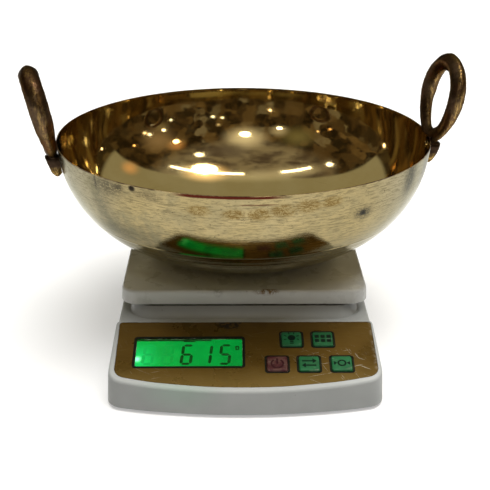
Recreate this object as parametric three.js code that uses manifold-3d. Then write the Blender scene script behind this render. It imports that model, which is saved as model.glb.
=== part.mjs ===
// Compact electronic bench scale with a riveted brass bowl resting on its platform.
// Millimetres, +Z up, -Y is the side with the display and keys. The origin is on the ground,
// below the middle of the assembly's bounding box.
import * as THREE from "three";
import { mergeVertices } from "three/addons/utils/BufferGeometryUtils.js";
import Module from "manifold-3d";

const wasm = await Module();
wasm.setup();

const degrees = THREE.MathUtils.degToRad;
const GAP = 0.3; // between neighbouring pieces

// ---------------------------------------------------------------- driving dimensions

// Housing, seen from above: the widest place, the part behind the ridge, and the ridge itself
const BODY = {
  halfWidth: 85,
  rearHalfWidth: 82.3,
  ridgeHalfWidth: 83.3,
  back: 80,
  ridge: -80,
  front: -142.9,
  cornerRadius: 12,
};
const BODY_BOTTOM = 1.8;
const DECK_TOP = 32.3;
const RIDGE_TOP = 33.8;
const WALL = 2.4;
const DRAFT = 1; // how far the walls lean in over their height
const EDGE_RADIUS = 1.8;
const PLINTH = { halfWidth: 75.5, front: -76, back: 72, top: 40.2, cornerRadius: 18, draft: 3 };

// Sloping control panel. On it, x runs across and s runs down the slope from the ridge.
const PANEL_SLOPE = degrees(15);
const OVERLAY = { halfWidth: 79.8, top: 2.5, bottom: 60.1, thickness: 0.55, recess: 0.95 };
const WINDOW = { x: -34.85, s: 29.75, width: 67.7, height: 26.3 };
const KEY_SIZE = 13;
const KEY_TRAVEL = 0.5;
const KEYS = [
  { name: "light", x: 29.3, s: 18.8 },
  { name: "count", x: 49.0, s: 18.8 },
  { name: "power", x: 19.5, s: 40.7 },
  { name: "mode", x: 39.1, s: 40.7 },
  { name: "tare", x: 59.2, s: 40.7 },
];
const BOARD = { halfWidth: 64, top: 8, bottom: 50, depth: 8.6, thickness: 1.6 };

// Weighing platform and what carries it
const PLATFORM = { halfX: 80.2, halfY: 73.2, bottom: 41.75, top: 50.9, cornerRadius: 11, wall: 2.4 };
const PLATFORM_TRAVEL = 0.5;
const CELL = { length: 80, width: 12.7, bottom: 8.6, screwX: [22, 34], eyeRadius: 4.4, eyeX: 7 };
const CELL_TOP = CELL.bottom + CELL.width;
const BRACKET = { halfX: 55, halfY: 40, bottom: 45.3, thickness: 2.9 };

// Base and battery bay
const BASE = { bottom: 2.8, thickness: 2.2 };
const BASE_TOP = BASE.bottom + BASE.thickness;
const BAY = { halfX: 29, front: 38.5, back: 69.5, ceiling: 18.4, wall: 1.6 };
const BATTERY = { radius: 7.1, length: 49.5, nubRadius: 2.7, nubLength: 1 };
const DOOR = { halfX: 31, front: 35, back: 70.5, bottom: 1.3, thickness: 1.2 };
const FOOT = { radius: 7, height: 3.4 };
const FOOT_PLACES = [[-62, -112], [62, -112], [-66, 62], [66, 62]];
const HOUSING_SCREW_PLACES = [
  { x: -70.5, y: -127, tip: 15 },
  { x: 70.5, y: -127, tip: 15 },
  { x: -73, y: 38, tip: 18 },
  { x: 73, y: 38, tip: 18 },
];

// Bowl: rounded bottom, steep wall, thin spun sheet
const BOWL = { rimRadius: 125.5, height: 83.5, sheet: 0.6, footRadius: 4.6, flare: 6.6, roundness: 2.32 };
const BOWL_BOTTOM = PLATFORM.top + GAP;
const RIM_TOP = BOWL_BOTTOM + BOWL.height;
const BOWL_SEGMENTS = 60;

// Cast ring handles, riveted below the rim by hand, so the two differ a little
const RING = { halfWidth: 23, halfHeight: 25, halfThickness: 5.2 };
const LUG = { width: 14, height: 20.5, thickness: 10 };
const RIVET = { radius: 2.4, headRadius: 4.4, drop: 8 };
const HANDLES = [
  { name: "left", azimuth: degrees(194.5), twist: 0, halfDepth: 5.6, standOff: 3 },
  { name: "right", azimuth: degrees(-1), twist: degrees(8), halfDepth: 4.5, standOff: 1 },
];
const HANDLE_LEAN = degrees(13);
const WALL_LEAN = degrees(8);

// ---------------------------------------------------------------- materials

const COLOURS = {
  whitePlastic: ["#a9aaa2", 0.45, 0],
  platformPlastic: ["#8f8b7c", 0.5, 0],
  greyPlastic: ["#6c6a62", 0.6, 0],
  goldFilm: ["#4c3b14", 0.3, 0.2],
  window: ["#10201a", 0.1, 0],
  display: ["#0f9a45", 0.2, 0],
  greenKey: ["#28734b", 0.45, 0],
  redKey: ["#8c3445", 0.45, 0],
  board: ["#1d5a34", 0.6, 0],
  black: ["#1c1c1c", 0.6, 0],
  rubber: ["#26251f", 0.85, 0],
  aluminium: ["#b9bcbe", 0.4, 0.9],
  steel: ["#8e9093", 0.35, 0.9],
  copperTop: ["#b1743a", 0.35, 0.7],
  wire: ["#8c1f1f", 0.6, 0],
  brass: ["#b08d45", 0.3, 0.95],
  agedBrass: ["#4a2f1c", 0.5, 0.8],
};

function material(name) {
  const [color, roughness, metalness] = COLOURS[name];
  return new THREE.MeshStandardMaterial({ color, roughness, metalness });
}

// ---------------------------------------------------------------- solids

// Closed geometry to solid: shared vertices merged, empty triangles dropped, faces outward.
function toSolid(geometry) {
  const source = geometry.index ? geometry.toNonIndexed() : geometry.clone();
  source.deleteAttribute("normal");
  source.deleteAttribute("uv");
  const merged = mergeVertices(source, 1e-4);
  const index = merged.index.array;
  const triangles = [];
  for (let i = 0; i < index.length; i += 3) {
    const [a, b, c] = [index[i], index[i + 1], index[i + 2]];
    if (a !== b && b !== c && c !== a) triangles.push([a, b, c]);
  }
  const position = merged.attributes.position;
  const outward = signedVolume(position, triangles) > 0;
  const triVerts = new Uint32Array(triangles.flatMap(([a, b, c]) => (outward ? [a, b, c] : [a, c, b])));
  const vertProperties = new Float32Array(position.array);
  return new wasm.Manifold(new wasm.Mesh({ numProp: 3, vertProperties, triVerts }));
}

function signedVolume(position, triangles) {
  const [p, q, r] = [new THREE.Vector3(), new THREE.Vector3(), new THREE.Vector3()];
  return triangles.reduce((sum, [a, b, c]) => {
    p.fromBufferAttribute(position, a);
    q.fromBufferAttribute(position, b);
    r.fromBufferAttribute(position, c);
    return sum + p.dot(q.cross(r)) / 6;
  }, 0);
}

function toGeometry(solid) {
  const { vertProperties, triVerts } = solid.getMesh();
  const geometry = new THREE.BufferGeometry();
  geometry.setAttribute("position", new THREE.BufferAttribute(vertProperties, 3));
  geometry.setIndex(new THREE.BufferAttribute(triVerts, 1));
  geometry.computeVertexNormals();
  return geometry;
}

// The largest of a solid's separate bodies.
const mainBody = (solid) => solid.decompose().sort((a, b) => b.volume() - a.volume())[0];

const join = (...solids) => solids.reduce((sum, solid) => sum.add(solid));
const cut = (solid, ...tools) => tools.reduce((rest, tool) => rest.subtract(tool), solid);

// A box between two corners.
function block(x0, y0, z0, x1, y1, z1) {
  const geometry = new THREE.BoxGeometry(x1 - x0, y1 - y0, z1 - z0);
  return geometry.translate((x0 + x1) / 2, (y0 + y1) / 2, (z0 + z1) / 2);
}

// An upright cylinder.
function post(x, y, z0, z1, radius, sides = 20) {
  const geometry = new THREE.CylinderGeometry(radius, radius, z1 - z0, sides).rotateX(Math.PI / 2);
  return geometry.translate(x, y, (z0 + z1) / 2);
}

// A solid of revolution about the upright line through (x, y), from [radius, height] pairs.
function turned(x, y, profile, sides = 20) {
  const points = profile.map(([radius, height]) => new THREE.Vector2(radius, height));
  return new THREE.LatheGeometry(points, sides).rotateX(Math.PI / 2).translate(x, y, 0);
}

// A tube along a curve.
function tube(curve, radius, steps, sides = 8) {
  const section = new THREE.Shape();
  for (let i = 0; i < sides; i += 1) {
    const angle = (i / sides) * 2 * Math.PI;
    const [x, y] = [radius * Math.cos(angle), radius * Math.sin(angle)];
    if (i === 0) section.moveTo(x, y);
    else section.lineTo(x, y);
  }
  section.closePath();
  return new THREE.ExtrudeGeometry(section, { steps, extrudePath: curve, curveSegments: 1 });
}

// ---------------------------------------------------------------- outlines and stacked levels

// A closed outline, counter-clockwise from above, from corners [x, y, radius].
function roundedOutline(corners) {
  const points = [];
  corners.forEach(([x, y, radius], i) => {
    const stepAngle = degrees(radius < 4 ? 30 : 18);
    const corner = new THREE.Vector2(x, y);
    const [xBefore, yBefore] = corners.at(i - 1);
    const [xAfter, yAfter] = corners[(i + 1) % corners.length];
    const before = new THREE.Vector2(xBefore, yBefore).sub(corner).normalize();
    const after = new THREE.Vector2(xAfter, yAfter).sub(corner).normalize();
    const halfAngle = Math.acos(before.dot(after)) / 2;
    const inward = before.clone().add(after).normalize();
    const centre = corner.clone().addScaledVector(inward, radius / Math.sin(halfAngle));
    const start = corner.clone().addScaledVector(before, radius / Math.tan(halfAngle));
    const turn = Math.PI - 2 * halfAngle;
    const steps = Math.max(1, Math.ceil(turn / stepAngle - 0.01));
    for (let k = 0; k <= steps; k += 1) {
      points.push(start.clone().rotateAround(centre, (turn * k) / steps));
    }
  });
  return points;
}

function rectangle(halfX, front, back, radius) {
  return roundedOutline([
    [halfX, front, radius],
    [halfX, back, radius],
    [-halfX, back, radius],
    [-halfX, front, radius],
  ]);
}

// The same outline moved inward.
function inset(points, distance) {
  return points.map((point, i) => {
    const along = point.clone().sub(points.at(i - 1)).normalize();
    const onward = points[(i + 1) % points.length].clone().sub(point).normalize();
    const inward = new THREE.Vector2(-along.y - onward.y, along.x + onward.x).normalize();
    const spread = inward.dot(new THREE.Vector2(-along.y, along.x));
    return point.clone().addScaledVector(inward, distance / spread);
  });
}

// A solid through levels [inset, height], lowest first; a height may be a function of y.
function stack(outline, levels) {
  const rings = levels.map(([distance, height]) =>
    inset(outline, distance).map(({ x, y }) => [x, y, typeof height === "function" ? height(y) : height]));
  const size = outline.length;
  const corners = [];
  const triangle = (a, b, c) => corners.push(...a, ...b, ...c);
  for (let level = 0; level + 1 < rings.length; level += 1) {
    const [low, high] = [rings[level], rings[level + 1]];
    for (let i = 0; i < size; i += 1) {
      const j = (i + 1) % size;
      triangle(low[i], low[j], high[j]);
      triangle(low[i], high[j], high[i]);
    }
  }
  for (let i = 1; i + 1 < size; i += 1) {
    triangle(rings[0][0], rings[0][i + 1], rings[0][i]);
    triangle(rings.at(-1)[0], rings.at(-1)[i], rings.at(-1)[i + 1]);
  }
  const geometry = new THREE.BufferGeometry();
  geometry.setAttribute("position", new THREE.Float32BufferAttribute(corners, 3));
  return geometry;
}

// Levels of a top edge rounded off by a radius, ending at the given height.
function roundedTop(top, radius, startInset = 0, steps = 2) {
  return Array.from({ length: steps + 1 }, (_, k) => {
    const angle = (k / steps) * (Math.PI / 2);
    const drop = radius * (1 - Math.sin(angle));
    const height = typeof top === "function" ? (y) => top(y) - drop : top - drop;
    return [startInset + radius * (1 - Math.cos(angle)), height];
  });
}

const plate = (outline, bottom, top) => stack(outline, [[0, bottom], [0, top]]);

// ---------------------------------------------------------------- housing

// Height of the panel's surface, or of a plane the given depth below it.
const panelHeight = (depth) => (y) =>
  RIDGE_TOP - (BODY.ridge - y) * Math.tan(PANEL_SLOPE) - depth / Math.cos(PANEL_SLOPE);

const panelPlace = new THREE.Matrix4()
  .makeTranslation(0, BODY.ridge, RIDGE_TOP)
  .multiply(new THREE.Matrix4().makeRotationX(PANEL_SLOPE));

const frontOutline = roundedOutline([
  [22, BODY.front, 300],
  [62, BODY.front + 5, 200],
  [BODY.halfWidth, BODY.front + 11, BODY.cornerRadius],
  [BODY.ridgeHalfWidth, BODY.ridge + 1, 4],
  [-BODY.ridgeHalfWidth, BODY.ridge + 1, 4],
  [-BODY.halfWidth, BODY.front + 11, BODY.cornerRadius],
  [-62, BODY.front + 5, 200],
  [-22, BODY.front, 300],
]);
const rearOutline = roundedOutline([
  [BODY.rearHalfWidth, BODY.ridge - 4, 4],
  [BODY.rearHalfWidth, BODY.back, 10],
  [-BODY.rearHalfWidth, BODY.back, 10],
  [-BODY.rearHalfWidth, BODY.ridge - 4, 4],
]);
const plinthOutline = rectangle(PLINTH.halfWidth, PLINTH.front, PLINTH.back, PLINTH.cornerRadius);

// The housing's whole outer shape, or the shape a given depth inside it.
function housingSolid(depth, bottom) {
  const radius = Math.max(EDGE_RADIUS - depth, 0.4);
  const front = stack(frontOutline, [
    [depth, bottom],
    ...roundedTop(panelHeight(depth), radius, depth + DRAFT),
  ]);
  const rear = stack(rearOutline, [
    [depth, bottom],
    ...roundedTop(DECK_TOP - depth, radius, depth + DRAFT),
  ]);
  const plinth = stack(plinthOutline, [
    [depth, bottom],
    [depth, DECK_TOP],
    ...roundedTop(PLINTH.top - depth, Math.max(1 - depth, 0.4), depth + PLINTH.draft),
  ]);
  // The rear body runs on under the ridge, so that the inside is one room.
  const passage = stack(rectangle(BODY.rearHalfWidth, BODY.ridge - 10, BODY.ridge + 10, 4), [
    [depth, bottom],
    [depth + DRAFT, DECK_TOP - depth - 2.2],
  ]);
  return join(toSolid(front), toSolid(rear), toSolid(plinth), toSolid(passage));
}

const overlayOutline = roundedOutline([
  [20, -OVERLAY.bottom, 250],
  [57, -OVERLAY.bottom + 4.5, 150],
  [OVERLAY.halfWidth, -OVERLAY.bottom + 10, 8],
  [OVERLAY.halfWidth, -OVERLAY.top, 2],
  [-OVERLAY.halfWidth, -OVERLAY.top, 2],
  [-OVERLAY.halfWidth, -OVERLAY.bottom + 10, 8],
  [-57, -OVERLAY.bottom + 4.5, 150],
  [-20, -OVERLAY.bottom, 250],
]);

// The same outline moved sideways.
const shifted = (points, dx) => points.map(({ x, y }) => new THREE.Vector2(x + dx, y));

// A rounded rectangle on the panel, from its middle and full size.
const panelRectangle = (x, s, width, height, radius) =>
  shifted(rectangle(width / 2, -height / 2 - s, height / 2 - s, radius), x);

const windowOutline = (margin, radius) =>
  panelRectangle(WINDOW.x, WINDOW.s, WINDOW.width + 2 * margin, WINDOW.height + 2 * margin, radius);

const keyOutline = (key, size) => panelRectangle(key.x, key.s, size, size, 1.5);

function topShell() {
  const shell = cut(housingSolid(0, BODY_BOTTOM), housingSolid(WALL, 0));
  const core = housingSolid(WALL / 2, 8);
  const posts = HOUSING_SCREW_PLACES.map(({ x, y }) => toSolid(post(x, y, 8, 40, 3.2, 16)).intersect(core));
  const pilots = HOUSING_SCREW_PLACES.map(({ x, y, tip }) => toSolid(post(x, y, 7, tip + GAP, 1.6, 12)));
  const recess = plate(inset(overlayOutline, -GAP), -OVERLAY.recess, 5);
  const windowWay = plate(windowOutline(-2, 1.5), -6, 5);
  const keyWays = KEYS.map((key) => plate(keyOutline(key, KEY_SIZE + 2 * GAP), -6, 5));
  const panelCuts = [recess, windowWay, ...keyWays].map((way) => toSolid(way.applyMatrix4(panelPlace)));
  const [nearScrew, farScrew] = CELL.screwX;
  const bracketWay = toSolid(block(nearScrew - 10, -14, 30, farScrew + 10, 14, 45));
  return cut(join(shell, ...posts), ...pilots, ...panelCuts, bracketWay);
}

function baseShell() {
  const clearance = WALL + DRAFT / 4 + 0.5;
  const bridge = block(-70, BODY.ridge - 10, BASE.bottom, 70, BODY.ridge + 10, BASE_TOP);
  const floor = join(
    toSolid(plate(inset(frontOutline, clearance), BASE.bottom, BASE_TOP)),
    toSolid(plate(inset(rearOutline, clearance), BASE.bottom, BASE_TOP)),
    toSolid(bridge),
  );
  const [nearScrew, farScrew] = CELL.screwX;
  const cellBoss = block(-farScrew - 6, -8, BASE.bottom, -nearScrew + 6, 8, CELL.bottom - GAP);
  const bayOutside = block(
    -BAY.halfX - BAY.wall, BAY.front - BAY.wall, BASE.bottom,
    BAY.halfX + BAY.wall, BAY.back + BAY.wall, BAY.ceiling + BAY.wall,
  );
  const bayInside = block(-BAY.halfX, BAY.front, 0, BAY.halfX, BAY.back, BAY.ceiling);
  const bosses = HOUSING_SCREW_PLACES.map(({ x, y }) => toSolid(post(x, y, BASE.bottom, 7.7, 4.4, 16)));
  const rails = [-1, 1].map((side) => doorRail(side));
  const body = join(floor, toSolid(cellBoss), toSolid(bayOutside), ...bosses, ...rails);
  const footRecesses = FOOT_PLACES.map(([x, y]) =>
    toSolid(post(x, y, 0, FOOT.height + GAP, FOOT.radius + GAP)));
  return cut(body, toSolid(bayInside), ...footRecesses, ...screwWays());
}

// One of the two hooked rails that the battery door slides in.
function doorRail(side) {
  const [inner, outer] = [DOOR.halfX + GAP, DOOR.halfX + GAP + 1.6];
  const [back, lipTop] = [DOOR.back + 5, DOOR.bottom - GAP];
  const upright = side > 0
    ? block(inner, DOOR.front, lipTop - 0.5, outer, back, BASE.bottom + 0.5)
    : block(-outer, DOOR.front, lipTop - 0.5, -inner, back, BASE.bottom + 0.5);
  const lip = side > 0
    ? block(inner - 1.6, DOOR.front, lipTop - 0.5, outer, back, lipTop)
    : block(-outer, DOOR.front, lipTop - 0.5, -inner + 1.6, back, lipTop);
  return join(toSolid(upright), toSolid(lip));
}

// Clearance holes and head recesses in the base, for the housing screws and the load cell's.
function screwWays() {
  const housing = HOUSING_SCREW_PLACES.flatMap(({ x, y }) => [
    toSolid(post(x, y, 0, 10, 1.8, 12)),
    toSolid(post(x, y, 0, 5.4, 3.4, 16)),
  ]);
  const cell = CELL.screwX.flatMap((x) => [
    toSolid(post(-x, 0, 0, 10, 2.2, 12)),
    toSolid(post(-x, 0, 0, 6, 3.9, 16)),
  ]);
  return [...housing, ...cell];
}

function foot(x, y) {
  const { radius, height } = FOOT;
  return turned(x, y, [[0, 0], [radius - 0.8, 0], [radius, 0.8], [radius, height], [0, height]], 20);
}

// A screw with its head down: a pan head with a cross slot, and a plain shank.
function screwFromBelow(x, y, headBottom, headHeight, headRadius, shankRadius, tip) {
  const seat = headBottom + headHeight;
  const body = turned(x, y, [
    [0, headBottom], [headRadius * 0.75, headBottom], [headRadius, headBottom + 0.6], [headRadius, seat],
    [shankRadius, seat], [shankRadius, tip - shankRadius], [0, tip],
  ], 12);
  return cut(toSolid(body), ...crossSlot(x, y, headBottom - 1, headBottom + 1.2, headRadius));
}

// The same screw with its head up.
function screwFromAbove(x, y, headBottom, headHeight, headRadius, shankRadius, tip) {
  const top = headBottom + headHeight;
  const body = turned(x, y, [
    [0, tip], [shankRadius, tip + shankRadius], [shankRadius, headBottom], [headRadius, headBottom],
    [headRadius, top - 0.6], [headRadius * 0.75, top], [0, top],
  ], 12);
  return cut(toSolid(body), ...crossSlot(x, y, top - 1.2, top + 1, headRadius));
}

function crossSlot(x, y, bottom, top, headRadius) {
  const reach = headRadius * 0.6;
  return [
    toSolid(block(x - reach, y - 0.4, bottom, x + reach, y + 0.4, top)),
    toSolid(block(x - 0.4, y - reach, bottom, x + 0.4, y + reach, top)),
  ];
}

// ---------------------------------------------------------------- weighing gear

function platform() {
  const { halfX, halfY, bottom, top, cornerRadius, wall } = PLATFORM;
  const outline = rectangle(halfX, -halfY, halfY, cornerRadius);
  const outside = stack(outline, [[0.8, bottom], [0, bottom + 1], ...roundedTop(top, 2.2, 0.4, 3)]);
  const inside = stack(inset(outline, wall), [[0, bottom - 1], [0.3, top - wall]]);
  return cut(toSolid(outside), toSolid(inside));
}

function platformBracket() {
  const { halfX, halfY, bottom, thickness } = BRACKET;
  const [nearScrew, farScrew] = CELL.screwX;
  const pad = CELL_TOP + PLATFORM_TRAVEL + 0.1;
  const top = plate(rectangle(halfX, -halfY, halfY, 10), bottom, bottom + thickness);
  const hub = block(nearScrew - 7, -11, pad, farScrew + 7, 11, bottom + 0.5);
  const well = block(nearScrew - 4.5, -8, pad + 4, farScrew + 4.5, 8, bottom + 10);
  const holes = CELL.screwX.map((x) => toSolid(post(x, 0, pad - 1, pad + 6, 2.2, 12)));
  const lightening = [-30, 30].flatMap((x) => [
    shifted(rectangle(14.5, 14, halfY - 6, 5), x),
    shifted(rectangle(14.5, 6 - halfY, -14, 5), x),
  ]).map((outline) => toSolid(plate(outline, bottom - 1, bottom + 5)));
  return cut(join(toSolid(top), toSolid(hub)), toSolid(well), ...holes, ...lightening);
}

function loadCell() {
  const { length, width, bottom, screwX, eyeRadius, eyeX } = CELL;
  const middle = bottom + width / 2;
  const beam = block(-length / 2, -width / 2, bottom, length / 2, width / 2, CELL_TOP);
  const eye = (x) => new THREE.CylinderGeometry(eyeRadius, eyeRadius, width + 2, 20).translate(x, 0, middle);
  const slot = block(-eyeX, -width, middle - 1, eyeX, width, middle + 1);
  const holes = screwX.flatMap((x) => [x, -x])
    .map((x) => toSolid(post(x, 0, bottom - 1, CELL_TOP + 1, 2.2, 12)));
  return cut(toSolid(beam), toSolid(eye(-eyeX)), toSolid(eye(eyeX)), toSolid(slot), ...holes);
}

const gaugePotting = () =>
  stack(rectangle(12, -5, 5, 2), [[0, CELL_TOP + GAP], ...roundedTop(CELL_TOP + 1.6, 0.8)]);

// ---------------------------------------------------------------- panel pieces, in the panel's own axes

function faceplate() {
  const { recess, thickness } = OVERLAY;
  const bottom = -recess + GAP;
  const film = plate(overlayOutline, bottom, bottom + thickness);
  const window = plate(windowOutline(0, 2), -3, 3);
  const keys = KEYS.map((key) => toSolid(plate(keyOutline(key, KEY_SIZE + 2 * GAP), -3, 3)));
  return cut(toSolid(film), toSolid(window), ...keys);
}

function displayWindow() {
  const bottom = -OVERLAY.recess + GAP;
  return plate(windowOutline(-GAP, 1.7), bottom, bottom + OVERLAY.thickness);
}

// The glass hangs below the panel's wall, and the backlight fills the room down to the board.
const GLASS_TOP = -WALL - GAP;
const GLASS_BOTTOM = GLASS_TOP - 2.2;

const displayGlass = () => plate(windowOutline(1.5, 0.6), GLASS_BOTTOM, GLASS_TOP);

const displayBacklight = () => plate(windowOutline(1, 0.6), -BOARD.depth + GAP, GLASS_BOTTOM - GAP);

function mainBoard() {
  const outline = rectangle(BOARD.halfWidth, -BOARD.bottom, -BOARD.top, 1);
  return plate(outline, -BOARD.depth - BOARD.thickness, -BOARD.depth);
}

function controllerBlob() {
  const top = -BOARD.depth - BOARD.thickness - GAP;
  return turned(5, -24, [[0, top - 1.8], [4, top - 1.5], [7, top - 0.6], [8, top], [0, top]], 16);
}

// A key cap: the visible button, a flange that keeps it in, and the stem that presses the switch.
function keyCap(key) {
  const cap = stack(keyOutline(key, KEY_SIZE), [[0, -WALL - GAP - 0.5], ...roundedTop(0.9, 0.7, 0.15)]);
  const flange = plate(keyOutline(key, KEY_SIZE + 2.4), -WALL - GAP - 0.8, -WALL - GAP);
  const stem = post(key.x, -key.s, -WALL - 1.9, -WALL - GAP - 0.4, 1.8, 10);
  return join(toSolid(cap), toSolid(flange), toSolid(stem));
}

function keySwitch(key) {
  const [bottom, shoulder] = [-BOARD.depth + GAP, -BOARD.depth + 3];
  const body = block(key.x - 3, -key.s - 3, bottom, key.x + 3, -key.s + 3, shoulder);
  const plunger = post(key.x, -key.s, shoulder - 0.5, -WALL - 1.9 - KEY_TRAVEL - 0.1, 1.7, 10);
  return join(toSolid(body), toSolid(plunger));
}

// ---------------------------------------------------------------- battery bay

const batteryHeight = DOOR.bottom + DOOR.thickness + 2 * GAP + BATTERY.radius;
const batteryPlaces = [
  { y: (BAY.front + BAY.back) / 2 - 7.7, direction: 1 },
  { y: (BAY.front + BAY.back) / 2 + 7.7, direction: -1 },
];

// A round cell lying along X, its nub towards +X before it is turned by its direction.
function battery({ y, direction }) {
  const { radius, length, nubRadius, nubLength } = BATTERY;
  const half = length / 2;
  const profile = [
    [0, -half], [radius - 0.6, -half], [radius, -half + 0.6], [radius, half - 0.8],
    [radius - 0.8, half], [nubRadius, half], [nubRadius, half + nubLength], [0, half + nubLength],
  ].map(([r, along]) => new THREE.Vector2(r, along));
  return new THREE.LatheGeometry(profile, 20)
    .rotateZ(-direction * Math.PI / 2)
    .translate(0, y, batteryHeight);
}

class Helix extends THREE.Curve {
  constructor(radius, length, turns) {
    super();
    Object.assign(this, { radius, length, turns });
  }

  getPoint(t, target = new THREE.Vector3()) {
    const angle = t * this.turns * 2 * Math.PI;
    return target.set(this.radius * Math.cos(angle), this.radius * Math.sin(angle), t * this.length);
  }
}

// A coil spring between the bay's end wall and the flat end of a cell.
function batterySpring({ y, direction }) {
  const wire = 0.4;
  const room = BAY.halfX - BATTERY.length / 2;
  const length = room - 2 * (wire + GAP);
  const start = -BAY.halfX + wire + GAP;
  return tube(new Helix(3.4, length, 2.5), wire, 30, 5)
    .rotateY(Math.PI / 2)
    .translate(start, 0, 0)
    .rotateZ(direction > 0 ? 0 : Math.PI)
    .translate(0, y, batteryHeight);
}

// A flat contact between the bay's end wall and a cell's nub.
function batteryContact({ y, direction }) {
  const [near, far] = [BAY.halfX - GAP - 0.5, BAY.halfX - GAP];
  const [left, right] = direction > 0 ? [near, far] : [-far, -near];
  return block(left, y - 5, batteryHeight - 5, right, y + 5, batteryHeight + 5);
}

function batteryDoor() {
  const { halfX, front, back, bottom, thickness } = DOOR;
  const panel = toSolid(block(-halfX, front, bottom, halfX, back, bottom + thickness));
  const grooves = Array.from({ length: 5 }, (_, k) => {
    const y = front + 5 + 2.4 * k;
    return toSolid(block(-9, y, bottom - 1, 9, y + 1.2, bottom + 0.5));
  });
  return cut(panel, ...grooves);
}

// ---------------------------------------------------------------- leads inside the housing

const onBoard = (x, s) =>
  new THREE.Vector3(x, -s, -BOARD.depth - BOARD.thickness - 1.5).applyMatrix4(panelPlace);

function loadCellLead() {
  const route = new THREE.CatmullRomCurve3([
    new THREE.Vector3(-4, -CELL.width / 2 - 1.6, 17),
    new THREE.Vector3(-6, -18, 10),
    new THREE.Vector3(-14, -48, 8),
    new THREE.Vector3(-20, -74, 10),
    onBoard(-24, 14),
  ]);
  return tube(route, 1.1, 20);
}

function batteryLead() {
  const route = new THREE.CatmullRomCurve3([
    new THREE.Vector3(-16, BAY.front - BAY.wall - 1.5, 13),
    new THREE.Vector3(-36, 26, 9),
    new THREE.Vector3(-52, 4, 8),
    new THREE.Vector3(-52, -40, 8),
    new THREE.Vector3(-44, -74, 10),
    onBoard(-42, 14),
  ]);
  return tube(route, 1.1, 24);
}

// ---------------------------------------------------------------- bowl and handles

// A point of the bowl's outer side: share 0 is the foot's edge and 1 is the rim.
function bowlPoint(share) {
  const { rimRadius, height, footRadius, flare, roundness } = BOWL;
  const angle = (share * Math.PI) / 2;
  const rise = 1 - Math.cos(angle) ** (2 / roundness);
  const reach = Math.sin(angle) ** (2 / roundness);
  const radius = footRadius + (rimRadius - flare - footRadius) * reach + flare * rise;
  return new THREE.Vector2(radius, height * rise);
}

// The bowl's side moved outward by a distance, from foot to rim.
function bowlSide(distance, steps = 11) {
  const points = Array.from({ length: steps + 1 }, (_, k) => bowlPoint(k / steps));
  return points.map((point, k) => {
    const before = points[Math.max(k - 1, 0)];
    const after = points[Math.min(k + 1, steps)];
    const along = after.clone().sub(before).normalize();
    if (k === 0) along.set(1, 0);
    return point.clone().add(new THREE.Vector2(along.y, -along.x).multiplyScalar(distance));
  });
}

function revolve(points, segments = BOWL_SEGMENTS) {
  return new THREE.LatheGeometry(points, segments).rotateX(Math.PI / 2).translate(0, 0, BOWL_BOTTOM);
}

// The bowl filled in and grown by a distance, to trim what lies against it.
function bowlEnvelope(distance) {
  const side = bowlSide(distance);
  const top = BOWL.height + 6;
  return toSolid(revolve([
    new THREE.Vector2(0, -distance), ...side,
    new THREE.Vector2(side.at(-1).x, top), new THREE.Vector2(0, top),
  ]));
}

function bowl() {
  const { sheet } = BOWL;
  const outside = bowlSide(0);
  const inside = bowlSide(-sheet);
  inside.at(-1).y = BOWL.height;
  const shell = revolve([
    new THREE.Vector2(0, 0), ...outside, ...inside.reverse(), new THREE.Vector2(0, sheet),
  ]);
  const holes = HANDLES.map((handle) =>
    toSolid(post(0, 0, -10, 10, RIVET.radius + GAP, 12).applyMatrix4(rivetPlace(handle))));
  return cut(toSolid(shell), ...holes);
}

// Axes at the rim: X points away from the bowl, Y along the rim, Z up the leaning handle.
function rimPlace(handle, lean) {
  return new THREE.Matrix4()
    .makeRotationZ(handle.azimuth)
    .multiply(new THREE.Matrix4().makeTranslation(BOWL.rimRadius, 0, RIM_TOP))
    .multiply(new THREE.Matrix4().makeRotationY(lean));
}

// Axes at a rivet: Z points away from the bowl.
function rivetPlace(handle) {
  return rimPlace(handle, WALL_LEAN)
    .multiply(new THREE.Matrix4().makeTranslation(0, 0, -RIVET.drop))
    .multiply(new THREE.Matrix4().makeRotationY(Math.PI / 2));
}

// The ring's centre line stands in the YZ plane, a little wider above its middle.
class RingCurve extends THREE.Curve {
  getPoint(t, target = new THREE.Vector3()) {
    const angle = t * 2 * Math.PI;
    const across = RING.halfWidth * Math.cos(angle) * (1 + 0.12 * Math.sin(angle));
    return target.set(0, across, RING.halfHeight * (1 + Math.sin(angle)));
  }
}

// A closed oval bar along the ring curve.
function ringBar(halfDepth, steps = 26, sides = 10) {
  const curve = new RingCurve();
  const corners = [];
  const at = (i, k) => {
    const centre = curve.getPoint((i % steps) / steps);
    const tangent = curve.getTangent((i % steps) / steps);
    const outward = new THREE.Vector3(0, tangent.z, -tangent.y);
    const angle = ((k % sides) / sides) * 2 * Math.PI;
    return centre.addScaledVector(outward, RING.halfThickness * Math.cos(angle))
      .add(new THREE.Vector3(halfDepth * Math.sin(angle), 0, 0)).toArray();
  };
  for (let i = 0; i < steps; i += 1) {
    for (let k = 0; k < sides; k += 1) {
      corners.push(...at(i, k), ...at(i + 1, k), ...at(i + 1, k + 1));
      corners.push(...at(i, k), ...at(i + 1, k + 1), ...at(i, k + 1));
    }
  }
  const geometry = new THREE.BufferGeometry();
  geometry.setAttribute("position", new THREE.Float32BufferAttribute(corners, 3));
  return geometry;
}

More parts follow.
